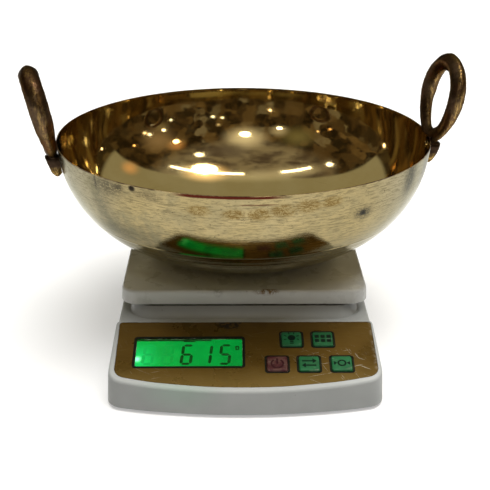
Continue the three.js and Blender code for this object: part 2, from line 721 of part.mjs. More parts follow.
// The shield-shaped lug below the ring, its back towards the bowl.
function lug() {
  const { width, height, thickness } = LUG;
  const outline = roundedOutline([
    [0, -height, 4], [width / 2, -height * 0.45, 3], [width / 2 - 1, 3, 2],
    [-width / 2 + 1, 3, 2], [-width / 2, -height * 0.45, 3],
  ]);
  const levels = [[0, -4], ...roundedTop(thickness, 3)];
  return stack(outline, levels)
    .applyMatrix4(new THREE.Matrix4().makeBasis(
      new THREE.Vector3(0, 1, 0), new THREE.Vector3(0, 0, 1), new THREE.Vector3(1, 0, 0)));
}

function ringHandle(handle) {
  const lean = rimPlace(handle, HANDLE_LEAN);
  const ring = ringBar(handle.halfDepth)
    .rotateZ(handle.twist)
    .translate(handle.standOff, 0, 0)
    .applyMatrix4(lean);
  const shield = lug().applyMatrix4(rimPlace(handle, WALL_LEAN));
  const hole = post(0, 0, -4, 6, RIVET.radius + GAP, 12).applyMatrix4(rivetPlace(handle));
  return mainBody(cut(join(toSolid(ring), toSolid(shield)), bowlEnvelope(GAP), toSolid(hole)));
}

// A rivet with its domed head inside the bowl and its shank in the lug.
function rivet(handle) {
  const { radius, headRadius } = RIVET;
  const seat = -BOWL.sheet - 1.3;
  const profile = [
    [0, seat - 2], [headRadius * 0.6, seat - 1.6], [headRadius, seat - 0.4], [headRadius, seat],
    [radius, seat], [radius, 5], [0, 5],
  ];
  return turned(0, 0, profile, 14).applyMatrix4(rivetPlace(handle));
}

// ---------------------------------------------------------------- assembly

const assembly = new THREE.Group();
const panel = new THREE.Group();
panel.position.set(0, BODY.ridge, RIDGE_TOP);
panel.rotation.x = PANEL_SLOPE;
assembly.add(panel);

// Adds a named piece; a piece built from booleans comes as a solid, a plain one as geometry.
function add(parent, name, piece, colour) {
  const geometry = piece.isBufferGeometry ? toGeometry(toSolid(piece)) : toGeometry(piece);
  const mesh = new THREE.Mesh(geometry, material(colour));
  mesh.name = name;
  parent.add(mesh);
}

add(assembly, "top_shell", topShell(), "whitePlastic");
add(assembly, "base_shell", baseShell(), "greyPlastic");
add(assembly, "platform", platform(), "platformPlastic");
add(assembly, "platform_bracket", platformBracket(), "aluminium");
add(assembly, "load_cell", loadCell(), "aluminium");
add(assembly, "gauge_potting", gaugePotting(), "whitePlastic");
CELL.screwX.forEach((x, i) => {
  const seat = CELL_TOP + PLATFORM_TRAVEL + 0.1 + 4 + GAP;
  add(assembly, `bracket_screw_${i + 1}`, screwFromAbove(x, 0, seat, 2.6, 3.5, 1.9, 12), "steel");
  add(assembly, `cell_screw_${i + 1}`, screwFromBelow(-x, 0, 3, 2.7, 3.5, 1.9, 19), "steel");
});

add(panel, "faceplate", faceplate(), "goldFilm");
add(panel, "display_window", displayWindow(), "window");
add(panel, "display_glass", displayGlass(), "display");
add(panel, "display_backlight", displayBacklight(), "whitePlastic");
add(panel, "main_board", mainBoard(), "board");
add(panel, "controller_blob", controllerBlob(), "black");
for (const key of KEYS) {
  add(panel, `key_${key.name}`, keyCap(key), key.name === "power" ? "redKey" : "greenKey");
  add(panel, `switch_${key.name}`, keySwitch(key), "black");
}

add(assembly, "battery_door", batteryDoor(), "greyPlastic");
batteryPlaces.forEach((place, i) => {
  add(assembly, `battery_${i + 1}`, battery(place), "copperTop");
  add(assembly, `battery_spring_${i + 1}`, batterySpring(place), "steel");
  add(assembly, `battery_contact_${i + 1}`, batteryContact(place), "steel");
});
FOOT_PLACES.forEach(([x, y], i) => add(assembly, `foot_${i + 1}`, foot(x, y), "rubber"));
HOUSING_SCREW_PLACES.forEach(({ x, y, tip }, i) =>
  add(assembly, `housing_screw_${i + 1}`, screwFromBelow(x, y, 3.1, 2, 3, 1.3, tip), "steel"));
add(assembly, "load_cell_lead", loadCellLead(), "wire");
add(assembly, "battery_lead", batteryLead(), "wire");

add(assembly, "bowl", bowl(), "brass");
for (const handle of HANDLES) {
  add(assembly, `handle_${handle.name}`, ringHandle(handle), "agedBrass");
  add(assembly, `rivet_${handle.name}`, rivet(handle), "agedBrass");
}

// The origin goes on the ground below the middle of the bounding box.
const scale = new THREE.Group();
scale.add(assembly);
const middle = new THREE.Box3().setFromObject(assembly).getCenter(new THREE.Vector3());
assembly.position.set(-middle.x, -middle.y, 0);
scale.updateMatrixWorld(true);

export default scale;
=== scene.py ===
"""Looks of a compact electronic scale with a riveted brass bowl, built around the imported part.

Lengths are in millimetres in the scale's own axes: the origin is on the ground below the load cell's
middle, +Z is up and -Y is the side with the display. place() turns them into the row frame in metres.
"""

import math

import bpy
import numpy as np
from mathutils import Matrix, Vector, noise


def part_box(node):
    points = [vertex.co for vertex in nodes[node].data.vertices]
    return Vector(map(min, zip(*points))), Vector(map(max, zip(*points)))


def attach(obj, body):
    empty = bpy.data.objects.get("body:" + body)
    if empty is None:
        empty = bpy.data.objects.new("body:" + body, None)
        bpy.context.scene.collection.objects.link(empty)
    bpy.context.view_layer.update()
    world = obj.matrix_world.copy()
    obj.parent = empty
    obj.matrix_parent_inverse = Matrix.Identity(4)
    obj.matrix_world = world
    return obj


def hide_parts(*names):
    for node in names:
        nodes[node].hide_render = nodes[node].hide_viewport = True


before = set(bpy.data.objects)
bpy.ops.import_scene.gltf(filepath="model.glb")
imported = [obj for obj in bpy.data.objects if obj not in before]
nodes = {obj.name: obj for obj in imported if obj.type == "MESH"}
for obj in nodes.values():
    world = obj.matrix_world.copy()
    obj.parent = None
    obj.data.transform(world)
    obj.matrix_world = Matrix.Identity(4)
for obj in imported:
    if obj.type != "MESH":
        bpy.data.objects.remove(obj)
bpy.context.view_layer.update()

scene = bpy.context.scene
radians = math.radians

# ---------------------------------------------------------------- driving dimensions, as in the CAD

GAP = 0.3
BODY_RIDGE = -80
BODY_BOTTOM = 1.8
DECK_TOP = 32.3
RIDGE_TOP = 33.8
PLINTH_TOP = 40.2
WALL = 2.4
DRAFT = 1
EDGE_RADIUS = 1.8
PANEL_SLOPE = radians(15)
FILM_BOTTOM = -0.65
FILM_TOP = -0.1
FILM_RECESS = 0.95
WINDOW = {"x": -34.85, "s": 29.75, "width": 67.7, "height": 26.3}
KEY_SIZE = 13
KEYS = {
    "light": (29.3, 18.8),
    "count": (49.0, 18.8),
    "power": (19.5, 40.7),
    "mode": (39.1, 40.7),
    "tare": (59.2, 40.7),
}
PLATFORM = {"half_x": 80.2, "half_y": 73.2, "bottom": 41.3, "top": 50.9, "radius": 11}
FOOT = {"radius": 7, "height": 3.4}
FOOT_PLACES = ((-62, -112), (62, -112), (-66, 62), (66, 62))
BOWL = {"rim": 125.5, "height": 83.5, "sheet": 0.6, "foot": 4.6, "flare": 6.6, "roundness": 2.32}
BOWL_BOTTOM = 51.2
RIM_TOP = BOWL_BOTTOM + BOWL["height"]
RING = {"half_width": 24, "half_height": 25, "half_thickness": 5.9, "squareness": 1.6}
RING_FOOT = {"width": 0.9, "depth": 0.62}
LUG = {"width": 12.5, "top": -4.5, "bottom": -21.8, "thickness": 9.2, "tip": 0.24, "taper": 0.3}
RIVET = {"radius": 2.4, "head": 3.1, "rise": 0.5, "drop": 8}
HANDLES = {
    "left": {
        "azimuth": radians(194.5),
        "twist": 0,
        "lean": radians(12),
        "half_depth": 6.7,
        "stand_off": 4.2,
        "worn": 0.5,
    },
    "right": {
        "azimuth": radians(-1),
        "twist": radians(12),
        "lean": radians(12.4),
        "half_depth": 5.4,
        "stand_off": 0.9,
        "worn": 0.62,
    },
}
WALL_LEAN = radians(8)

# ---------------------------------------------------------------- axes

MM = 0.001
platform_low, platform_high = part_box("platform")
ORIGIN = Vector(((platform_low.x + platform_high.x) / 2, (platform_low.y + platform_high.y) / 2, 0))
TO_ROW = Matrix.Translation(ORIGIN) @ Matrix.Scale(MM, 4)
PANEL = Matrix.Translation((0, BODY_RIDGE, RIDGE_TOP)) @ Matrix.Rotation(PANEL_SLOPE, 4, "X")


def place(x, y, z):
    """A point of the scale's axes in the row frame, in metres."""
    return TO_ROW @ Vector((x, y, z))


# ---------------------------------------------------------------- mesh building


def make(name, points, faces, axes=None):
    """A mesh object from points in the scale's axes, or in the given axes within them."""
    change = TO_ROW @ axes if axes else TO_ROW
    mesh = bpy.data.meshes.new(name)
    mesh.from_pydata([tuple(change @ Vector(p)) for p in points], [], faces)
    mesh.validate()
    obj = bpy.data.objects.new(name, mesh)
    scene.collection.objects.link(obj)
    return obj


def settle(obj):
    """Applies the object's modifiers to its mesh."""
    graph = bpy.context.evaluated_depsgraph_get()
    mesh = bpy.data.meshes.new_from_object(obj.evaluated_get(graph))
    obj.modifiers.clear()
    obj.data = mesh
    return obj


def combine(obj, operation, *tools):
    """Joins the tools to the object or cuts them from it, and removes the tools."""
    for tool in tools:
        step = obj.modifiers.new("step", "BOOLEAN")
        step.operation, step.solver, step.object = operation, "MANIFOLD", tool
    settle(obj)
    for tool in tools:
        bpy.data.objects.remove(tool)
    return obj


def smooth(obj, sharp=35):
    obj.data.shade_smooth()
    obj.data.set_sharp_from_angle(angle=radians(sharp))
    return obj


def merged(name, *parts):
    """One object with the meshes of several."""
    with bpy.context.temp_override(
        active_object=parts[0], selected_editable_objects=parts, selected_objects=parts
    ):
        bpy.ops.object.join()
    parts[0].name = parts[0].data.name = name
    return parts[0]


# ---------------------------------------------------------------- outlines and stacked levels


def rounded_outline(corners, step=7.5):
    """A closed outline, counter-clockwise from above, from corners (x, y, radius)."""
    points = []
    for i, (x, y, radius) in enumerate(corners):
        corner = Vector((x, y))
        before = (Vector(corners[i - 1][:2]) - corner).normalized()
        after = (Vector(corners[(i + 1) % len(corners)][:2]) - corner).normalized()
        half = math.acos(before.dot(after)) / 2
        centre = corner + (before + after).normalized() * radius / math.sin(half)
        start = corner + before * radius / math.tan(half)
        turn = math.pi - 2 * half
        steps = max(3, math.ceil(math.degrees(turn) / step))
        for k in range(steps + 1):
            points.append(centre + Matrix.Rotation(turn * k / steps, 2) @ (start - centre))
    return points


def rectangle(x, y, width, height, radius):
    a, b = width / 2, height / 2
    return rounded_outline(
        [(x + a, y - b, radius), (x + a, y + b, radius), (x - a, y + b, radius), (x - a, y - b, radius)]
    )


def inset(points, distance):
    """The same outline moved inward."""
    moved = []
    for i, point in enumerate(points):
        along = (point - points[i - 1]).normalized()
        onward = (points[(i + 1) % len(points)] - point).normalized()
        inward = Vector((-along.y - onward.y, along.x + onward.x)).normalized()
        spread = inward.dot(Vector((-along.y, along.x)))
        moved.append(point + inward * (distance / spread))
    return moved


def lofted(name, rings, axes=None):
    """A closed solid through rings of equal length, lowest first, its ends capped."""
    size = len(rings[0])
    points = [p for ring in rings for p in ring]
    faces = []
    for level in range(len(rings) - 1):
        for i in range(size):
            j = (i + 1) % size
            a, b = level * size, (level + 1) * size
            faces.append((a + i, a + j, b + j, b + i))
    faces.append(tuple(reversed(range(size))))
    faces.append(tuple(range(len(points) - size, len(points))))
    return make(name, points, faces, axes)


def stack(name, outline, levels, axes=None):
    """A solid through levels (inset, height), lowest first; a height may be a function of y."""
    rings = []
    for distance, height in levels:
        ring = inset(outline, distance)
        rings.append([(x, y, height(y) if callable(height) else height) for x, y in ring])
    return lofted(name, rings, axes)


def rounded_top(top, radius, start=0.0, steps=6):
    """Levels of a top edge rounded off by a radius."""
    levels = []
    for k in range(steps + 1):
        angle = k / steps * math.pi / 2
        drop = radius * (1 - math.sin(angle))
        height = (lambda y, drop=drop: top(y) - drop) if callable(top) else top - drop
        levels.append((start + radius * (1 - math.cos(angle)), height))
    return levels


def rounded_bottom(bottom, radius, start=0.0, steps=4):
    """Levels of a bottom edge rounded off by a radius."""
    return [(d, 2 * bottom - z) for d, z in reversed(rounded_top(bottom, radius, start, steps))]


def plate(name, outline, bottom, top, axes=None):
    return stack(name, outline, [(0, bottom), (0, top)], axes)


def turned(name, profile, axes=None, sides=48):
    """A solid of revolution about Z from (radius, height) pairs, lowest first."""
    rings = []
    for radius, height in profile:
        turns = [k / sides * 2 * math.pi for k in range(sides)]
        rings.append([(radius * math.cos(t), radius * math.sin(t), height) for t in turns])
    return lofted(name, rings, axes)


# ---------------------------------------------------------------- housing


def panel_height(depth):
    """Height of the panel's surface, or of a plane the given depth below it, at a y."""
    return lambda y: RIDGE_TOP - (BODY_RIDGE - y) * math.tan(PANEL_SLOPE) - depth / math.cos(PANEL_SLOPE)


def mirrored(half):
    return half + [(-x, y, radius) for x, y, radius in reversed(half)]


FRONT = rounded_outline(mirrored([(22, -142.9, 300), (62, -137.9, 200), (85, -131.9, 12), (83.3, -79, 4)]))
REAR = rounded_outline(mirrored([(82.3, -84, 4), (82.3, 80, 10)]))
PLINTH = rectangle(0, -2, 151, 148, 18)
FILM_RIGHT = [(20, -60.1, 250), (57, -55.6, 150), (81.0, -50.1, 8), (80.8, -2.5, 2)]
FILM_LEFT = [(-79.8, -2.5, 2), (-79.8, -50.1, 8), (-57, -55.6, 150), (-20, -60.1, 250)]
FILM = rounded_outline(FILM_RIGHT + FILM_LEFT)


def window_outline(margin, radius):
    size = (WINDOW["width"] + 2 * margin, WINDOW["height"] + 2 * margin)
    return rectangle(WINDOW["x"], -WINDOW["s"], *size, radius)


def key_outline(key, size, radius=1.5):
    x, s = KEYS[key]
    return rectangle(x, -s, size, size, radius)


def housing_solid(depth, bottom):
    radius = max(EDGE_RADIUS - depth, 0.4)
    front = stack("front", FRONT, [(depth, bottom), *rounded_top(panel_height(depth), radius, depth + DRAFT)])
    rear = stack("rear", REAR, [(depth, bottom), *rounded_top(DECK_TOP - depth, radius, depth + DRAFT)])
    plinth_top = rounded_top(PLINTH_TOP - depth, max(1 - depth, 0.4), depth + 3)
    plinth = stack("plinth", PLINTH, [(depth, bottom), (depth, DECK_TOP), *plinth_top])
    passage_outline = rectangle(0, BODY_RIDGE, 164.6, 20, 4)
    passage = stack("passage", passage_outline, [(depth, bottom), (depth + DRAFT, DECK_TOP - depth - 2.2)])
    return combine(front, "UNION", rear, plinth, passage)


def build_shell():
    shell = combine(housing_solid(0, BODY_BOTTOM), "DIFFERENCE", housing_solid(WALL, 0))
    cuts = [plate("recess", inset(FILM, -GAP), -FILM_RECESS, 5, PANEL)]
    cuts.append(plate("way", window_outline(-0.9, 1.2), -6, 5, PANEL))
    cuts += [plate("way", key_outline(key, KEY_SIZE + 2 * GAP), -6, 5, PANEL) for key in KEYS]
    shell.name = shell.data.name = "housing_top"
    return smooth(combine(shell, "DIFFERENCE", *cuts), 28)


def build_platform():
    size = (2 * PLATFORM["half_x"], 2 * PLATFORM["half_y"])
    outline = rectangle(0, 0, *size, PLATFORM["radius"])
    levels = rounded_bottom(PLATFORM["bottom"], 0.9) + rounded_top(PLATFORM["top"], 1.8, 0.4, 8)
    slab = stack("weighing_platform", outline, levels)
    room = stack("room", inset(outline, WALL), [(0, PLATFORM["bottom"] - 1), (0.3, PLATFORM["top"] - WALL)])
    return smooth(combine(slab, "DIFFERENCE", room), 40)


def build_foot(number, x, y):
    radius, height = FOOT["radius"], FOOT["height"]
    profile = [(0.5, 0.25), (4.2, 0.25), (4.6, 0), (radius - 0.8, 0), (radius - 0.25, 0.25), (radius, 0.8)]
    profile += [(radius, height), (0.5, height)]
    return smooth(turned(f"rubber_foot_{number}", profile, Matrix.Translation((x, y, 0))), 40)


# ---------------------------------------------------------------- panel


def build_film():
    film = plate("panel_film", FILM, FILM_BOTTOM, FILM_TOP, PANEL)
    holes = [plate("hole", window_outline(0, 2), -3, 3, PANEL)]
    holes += [plate("hole", key_outline(key, KEY_SIZE + 2 * GAP), -3, 3, PANEL) for key in KEYS]
    return smooth(combine(film, "DIFFERENCE", *holes))


def build_window():
    levels = [(0, FILM_BOTTOM), *rounded_top(FILM_TOP, 0.2, steps=3)]
    return smooth(stack("window_cover", window_outline(-GAP, 1.7), levels, PANEL))


def frame_plate(name, outer, inner, bottom, top):
    """A flat frame between two outlines."""
    border = plate(name, outer, bottom, top, PANEL)
    return combine(border, "DIFFERENCE", plate("hole", inner, bottom - 1, top + 1, PANEL))


def build_print():
    """Dark printed lines round the window and the keys."""
    levels = (FILM_TOP - 0.02, FILM_TOP + 0.05)
    parts = [frame_plate("line", window_outline(0.9, 2.4), window_outline(-0.75, 1.3), *levels)]
    for key in KEYS:
        outer, inner = key_outline(key, KEY_SIZE + 2.4, 2.3), key_outline(key, KEY_SIZE + 0.7, 1.7)
        parts.append(frame_plate("line", outer, inner, *levels))
    return smooth(merged("printed_outlines", *parts))


GLASS_TOP = -1.0
INK_LEVELS = (GLASS_TOP - 0.02, GLASS_TOP + 0.08)
EDGE_SHADOW_LEVELS = (GLASS_TOP - 0.02, GLASS_TOP + 0.06)


def build_glass():
    return smooth(plate("liquid_crystal_glass", window_outline(-0.7, 0.6), GLASS_TOP - 2.2, GLASS_TOP, PANEL))


# Segments of a digit: ends of each bar's middle line, as shares of its width and height
SEGMENTS = {
    "a": ((0, 1), (1, 1)),
    "b": ((1, 1), (1, 0.5)),
    "c": ((1, 0.5), (1, 0)),
    "d": ((0, 0), (1, 0)),
    "e": ((0, 0.5), (0, 0)),
    "f": ((0, 1), (0, 0.5)),
    "g": ((0, 0.5), (1, 0.5)),
}
DIGITS = {"6": "acdefg", "1": "bc", "5": "acdfg"}
DIGIT = {"width": 5.7, "height": 16.2, "thick": 1.9, "slant": 0.085, "pitch": 11.85}
DIGIT_START = Vector((-40.6, -40.2))
UNIT_PLACE = (-4.9, -25.4)


def segment(start, end, before, name="segment"):
    """One pointed bar of a slanted digit that has a number of digits before it."""
    a = Vector((start[0] * DIGIT["width"], start[1] * DIGIT["height"]))
    b = Vector((end[0] * DIGIT["width"], end[1] * DIGIT["height"]))
    along = (b - a).normalized()
    side = Vector((-along.y, along.x)) * DIGIT["thick"] / 2
    tip = DIGIT["thick"] / 2
    a, b = a + along * 0.25, b - along * 0.25
    outline = [a, a + along * tip - side, b - along * tip - side]
    outline += [b, b - along * tip + side, a + along * tip + side]
    corner = DIGIT_START + Vector((before * DIGIT["pitch"] + tip, tip))
    slanted = [corner + Vector((p.x + DIGIT["slant"] * p.y, p.y)) for p in outline]
    return plate(name, slanted, *INK_LEVELS, PANEL)


def build_idle_digits():
    """The unlit digits left of the reading, which show faintly against the light."""
    bars = []
    for before in (-2, -1):
        bars += [segment(*ends, before, "idle") for ends in SEGMENTS.values()]
    return merged("display_idle_digits", *bars)


def build_reading():
    """The digits and the small unit ring beside them."""
    bars = []
    for i, digit in enumerate("615"):
        bars += [segment(*SEGMENTS[name], i) for name in DIGITS[digit]]
    outer, inner = rectangle(*UNIT_PLACE, 2.6, 3.8, 0.9), rectangle(*UNIT_PLACE, 0.8, 1.8, 0.35)
    bars.append(frame_plate("unit", outer, inner, *INK_LEVELS))
    return merged("display_digits", *bars)


def build_edge_shadow():
    """Painted shadow of the frame's edge: a dark line along the glass's top, with a blot in it."""
    line, blot = rectangle(-44.6, -18.4, 47, 1.5, 0.5), rectangle(-35, -18.7, 8, 2.6, 1.2)
    parts = [plate(name, shape, *EDGE_SHADOW_LEVELS, PANEL) for name, shape in (("line", line), ("blot", blot))]
    return merged("glass_edge_shadow", *parts)


def build_key(key):
    levels = [(0, -WALL - GAP), *rounded_top(0.9, 1.1, 0.15)]
    cap = stack(f"key_cap_{key}", key_outline(key, KEY_SIZE), levels, PANEL)
    flange = plate("flange", key_outline(key, KEY_SIZE + 2.4), -WALL - GAP - 0.8, -WALL - GAP + 0.01, PANEL)
    x, s = KEYS[key]
    stem_axes = PANEL @ Matrix.Translation((x, -s, 0))
    stem = turned("stem", [(1.8, -WALL - 1.9), (1.8, -WALL - GAP - 0.4)], stem_axes)
    return smooth(combine(cap, "UNION", flange, stem), 30)


MARK_BOTTOM, MARK_TOP, MARK_SCALE = 0.88, 0.97, 1.18


def bar(x, y, width, height, turn=0.0):
    """A small upright or turned bar of a key's mark, from its middle and size."""
    spin = Matrix.Rotation(turn, 2)
    return [Vector((x, y)) + spin @ p for p in rectangle(0, 0, width, height, min(width, height) * 0.2)]


def round_points(x, y, radius, angles):
    return [Vector((x + radius * math.cos(t), y + radius * math.sin(t))) for t in angles]


def disc(x, y, radius):
    return round_points(x, y, radius, np.linspace(0, 2 * math.pi, 29)[:-1])


def arrow(x, y, size, direction):
    points = [Vector((x + direction * size, y)), Vector((x, y + size * 0.8)), Vector((x, y - size * 0.8))]
    return points if direction < 0 else points[::-1]


def arc(x, y, radius, width, start, end):
    """A closed outline of part of a ring, between two angles."""
    angles = np.linspace(start, end, 25)
    inner = round_points(x, y, radius - width / 2, angles)
    return round_points(x, y, radius + width / 2, angles) + inner[::-1]


def mark_outlines(key):
    """Outlines of a key's generic mark, about its middle."""
    if key == "light":  # a lamp with rays
        angles = np.linspace(-0.35, math.pi + 0.35, 6)
        rays = [bar(3.6 * math.cos(t), 0.6 + 3.6 * math.sin(t), 1.5, 0.55, t) for t in angles]
        return [disc(0, 0.6, 2.1), bar(0, -2.3, 1.9, 0.9), bar(0, -3.6, 1.9, 0.7), *rays]
    if key == "count":  # a row of equal pieces
        return [bar(x, y, 2.3, 2.3) for x in (-3.2, 0, 3.2) for y in (-1.6, 1.6)]
    if key == "power":  # the usual ring with a stroke
        return [arc(0, -0.3, 3.1, 0.9, math.pi * 0.5 + 0.6, math.pi * 2.5 - 0.6), bar(0, 1.6, 0.9, 3.9)]
    if key == "mode":  # two arrows, one each way
        onward = [bar(-0.9, 1.6, 5.4, 0.9), arrow(1.8, 1.6, 2.2, 1)]
        return [*onward, bar(0.9, -1.6, 5.4, 0.9), arrow(-1.8, -1.6, 2.2, -1)]
    # tare: arrows pointing at a zero
    sides = [arrow(-4.2, 0, 1.7, 1), arrow(4.2, 0, 1.7, -1)]
    return [arc(0, 0, 1.9, 0.9, 0.02, math.pi * 2 - 0.02), *sides]


def build_mark(key):
    x, s = KEYS[key]
    axes = PANEL @ Matrix.Translation((x, -s, 0))
    parts = []
    for outline in mark_outlines(key):
        parts.append(plate("mark", [point * MARK_SCALE for point in outline], MARK_BOTTOM, MARK_TOP, axes))
    return merged(f"key_mark_{key}", *parts)


# ---------------------------------------------------------------- bowl and handles

BOWL_SIDES = 288
BOWL_STEPS = 72


def bowl_point(share):
    """A point (radius, height) of the bowl's outer side: share 0 is the foot's edge and 1 is the rim."""
    angle = share * math.pi / 2
    rise = 1 - max(math.cos(angle), 0) ** (2 / BOWL["roundness"])
    reach = math.sin(angle) ** (2 / BOWL["roundness"])
    radius = BOWL["foot"] + (BOWL["rim"] - BOWL["flare"] - BOWL["foot"]) * reach + BOWL["flare"] * rise
    return Vector((radius, BOWL["height"] * rise))


def bowl_side(distance, steps=BOWL_STEPS):
    """The bowl's side moved outward by a distance, from foot to rim."""
    points = [bowl_point(k / steps) for k in range(steps + 1)]
    side = []
    for k, point in enumerate(points):
        along = (points[min(k + 1, steps)] - points[max(k - 1, 0)]).normalized()
        if k == 0:
            along = Vector((1, 0))
        side.append(point + Vector((along.y, -along.x)) * distance)
    return side


def hand_worked(x, y, z):
    """A point of the bowl moved by the small dents and waves that hand work leaves."""
    p = Vector((x, y, z))
    wave = 0.16 * noise.noise(p / 34) + 0.05 * noise.noise(p / 13 + Vector((5, 1, 3)))
    radius = math.hypot(x, y) or 1
    rim = max(0.0, z / BOWL["height"]) ** 2
    push = wave + 0.35 * rim * noise.noise(Vector((x, y, 0)) / 90 + Vector((2, 8, 0)))
    return (x + x / radius * push, y + y / radius * push, z + BOWL_BOTTOM + 0.5 * wave)


def build_bowl():
    sheet = BOWL["sheet"]
    outside, inside = bowl_side(0), bowl_side(-sheet)
    inside[-1].y = BOWL["height"]
    lip_middle = (outside[-1] + inside[-1]) / 2
    outside[-1] = outside[-1] - Vector((0.02, 0.28))
    inside[-1] = inside[-1] - Vector((-0.02, 0.28))
    lip = [lip_middle + Vector((0.24, -0.07)), lip_middle, lip_middle + Vector((-0.24, -0.07))]
    profile = outside + lip + inside[::-1]
    points, faces, kinds = [], [], []
    for radius, height in profile:
        for k in range(BOWL_SIDES):
            t = k / BOWL_SIDES * 2 * math.pi
            points.append(hand_worked(radius * math.cos(t), radius * math.sin(t), height))
    rim_start, rim_end = len(outside) - 1, len(outside) + len(lip)
    for level in range(len(profile) - 1):
        kind = 0 if level < rim_start else (2 if level < rim_end else 1)
        for i in range(BOWL_SIDES):
            j = (i + 1) % BOWL_SIDES
            a, b = level * BOWL_SIDES, (level + 1) * BOWL_SIDES
            faces.append((a + i, a + j, b + j, b + i))
            kinds.append(kind)
    last = len(points) - BOWL_SIDES
    points += [hand_worked(0, 0, 0), hand_worked(0, 0, sheet)]
    for i in range(BOWL_SIDES):
        j = (i + 1) % BOWL_SIDES
        faces += [(j, i, len(points) - 2), (last + i, last + j, len(points) - 1)]
        kinds += [0, 1]
    bowl = make("brass_bowl", points, faces)
    bowl.data.polygons.foreach_set("material_index", kinds)
    return smooth(bowl, 60)


def bowl_envelope(distance):
    """The bowl filled in and grown by a distance, to trim what lies against it."""
    side = bowl_side(distance, 40)
    top = BOWL["height"] + distance
    profile = [(0.5, -distance), *[tuple(p) for p in side], (side[-1].x, top), (0.5, top)]
    return turned("envelope", profile, Matrix.Translation((0, 0, BOWL_BOTTOM)), 180)


def rim_axes(handle, lean):
    """Axes at the rim: X points away from the bowl, Y along the rim, Z up the leaning handle."""
    turn = Matrix.Rotation(handle["azimuth"], 4, "Z")
    return turn @ Matrix.Translation((BOWL["rim"], 0, RIM_TOP)) @ Matrix.Rotation(lean, 4, "Y")


def rivet_axes(handle):
    """Axes at a rivet: Z points away from the bowl."""
    down = Matrix.Translation((0, 0, -RIVET["drop"]))
    return rim_axes(handle, WALL_LEAN) @ down @ Matrix.Rotation(math.pi / 2, 4, "Y")


def ring_centre(t):
    """The ring's middle line: an oval slightly narrower towards its foot."""
    angle = t * 2 * math.pi
    up = (1 + math.sin(angle)) / 2
    across = RING["half_width"] * math.cos(angle) * (0.76 + 0.46 * up - 0.22 * up * up)
    return Vector((0, across, 2 * RING["half_height"] * up))


def ring_girth(t, foot):
    """The bar's size along the ring: full at the top and a share of that at the foot."""
    up = min(1, (1 + math.sin(t * 2 * math.pi)) / 2 / 0.62)
    return foot + (1 - foot) * up * up * (3 - 2 * up)


def ring_axes(handle):
    axes = rim_axes(handle, handle["lean"]) @ Matrix.Translation((handle["stand_off"], 0, 0))
    return axes @ Matrix.Rotation(handle["twist"], 4, "Z")


def ring_bar(handle, steps=120, sides=32):
    """The bar of a ring, a rounded lozenge in section and a little uneven."""
    points, faces = [], []
    power = RING["squareness"]
    for i in range(steps):
        t = i / steps
        centre = ring_centre(t)
        tangent = (ring_centre(t + 0.002) - ring_centre(t - 0.002)).normalized()
        outward = Vector((0, tangent.z, -tangent.y))
        uneven = 1 + 0.05 * noise.noise(centre / 14 + Vector((handle["azimuth"], 0, 0)))
        half_width = RING["half_thickness"] * ring_girth(t, RING_FOOT["width"]) * uneven
        half_depth = handle["half_depth"] * ring_girth(t, RING_FOOT["depth"]) * uneven
        for k in range(sides):
            angle = k / sides * 2 * math.pi
            across, deep = math.cos(angle), math.sin(angle)
            flat = 1 / (abs(across) ** power + abs(deep) ** power) ** (1 / power)
            thick = Vector((half_depth * deep * flat, 0, 0))
            points.append(centre + outward * half_width * across * flat + thick)
    for i in range(steps):
        for k in range(sides):
            a, b = i * sides, (i + 1) % steps * sides
            j = (k + 1) % sides
            faces.append((a + k, b + k, b + j, a + j))
    return make("ring", points, faces, ring_axes(handle))


def lug(handle):
    """The shield-shaped lug below a ring, thinner towards its pointed lower end."""
    half, top, bottom = LUG["width"] / 2, LUG["top"], LUG["bottom"]
    middle = (top + bottom) / 2
    outline = rounded_outline(mirrored([(0, bottom, 2.5), (half, middle, 4), (half - 1, top, 3)])[:5])
    rings = [[(-4, x, y) for x, y in outline]]
    for k in range(13):
        turn = k / 12 * math.pi / 2
        out, narrow = math.sin(turn), 1 - 0.4 * (1 - math.cos(turn))
        lift = LUG["tip"] * ((out - 0.45) / 0.55) ** 2
        ring = []
        for x, y in outline:
            thick = LUG["thickness"] * (1 - LUG["taper"] * (top - y) / (top - bottom))
            ring.append((thick * out, x * narrow, y + (top - y) * lift))
        rings.append(ring)
    return lofted("lug", rings, rim_axes(handle, WALL_LEAN))


def roughen(obj, depth, size):
    """Moves the surface in and out a little, as a casting's does, in waves of a size."""
    normals = [v.normal.copy() for v in obj.data.vertices]
    for vertex, normal in zip(obj.data.vertices, normals):
        vertex.co += normal * depth * MM * noise.noise((vertex.co - ORIGIN) / MM / size)


def build_handle(side):
    """A rough cast ring and lug in one piece, trimmed to the bowl's wall."""
    handle = HANDLES[side]
    body = combine(ring_bar(handle), "UNION", lug(handle))
    body.name = body.data.name = f"ring_handle_{side}"
    fuse = body.modifiers.new("fuse", "REMESH")
    fuse.mode, fuse.voxel_size = "VOXEL", 0.5 * MM
    soften = body.modifiers.new("soften", "SMOOTH")
    soften.factor, soften.iterations = 0.5, 14
    settle(body)
    roughen(body, 0.22, 6)
    roughen(body, 0.12, 2.2)
    combine(body, "DIFFERENCE", bowl_envelope(GAP))
    mark_wear(body, handle)
    return smooth(body, 50)


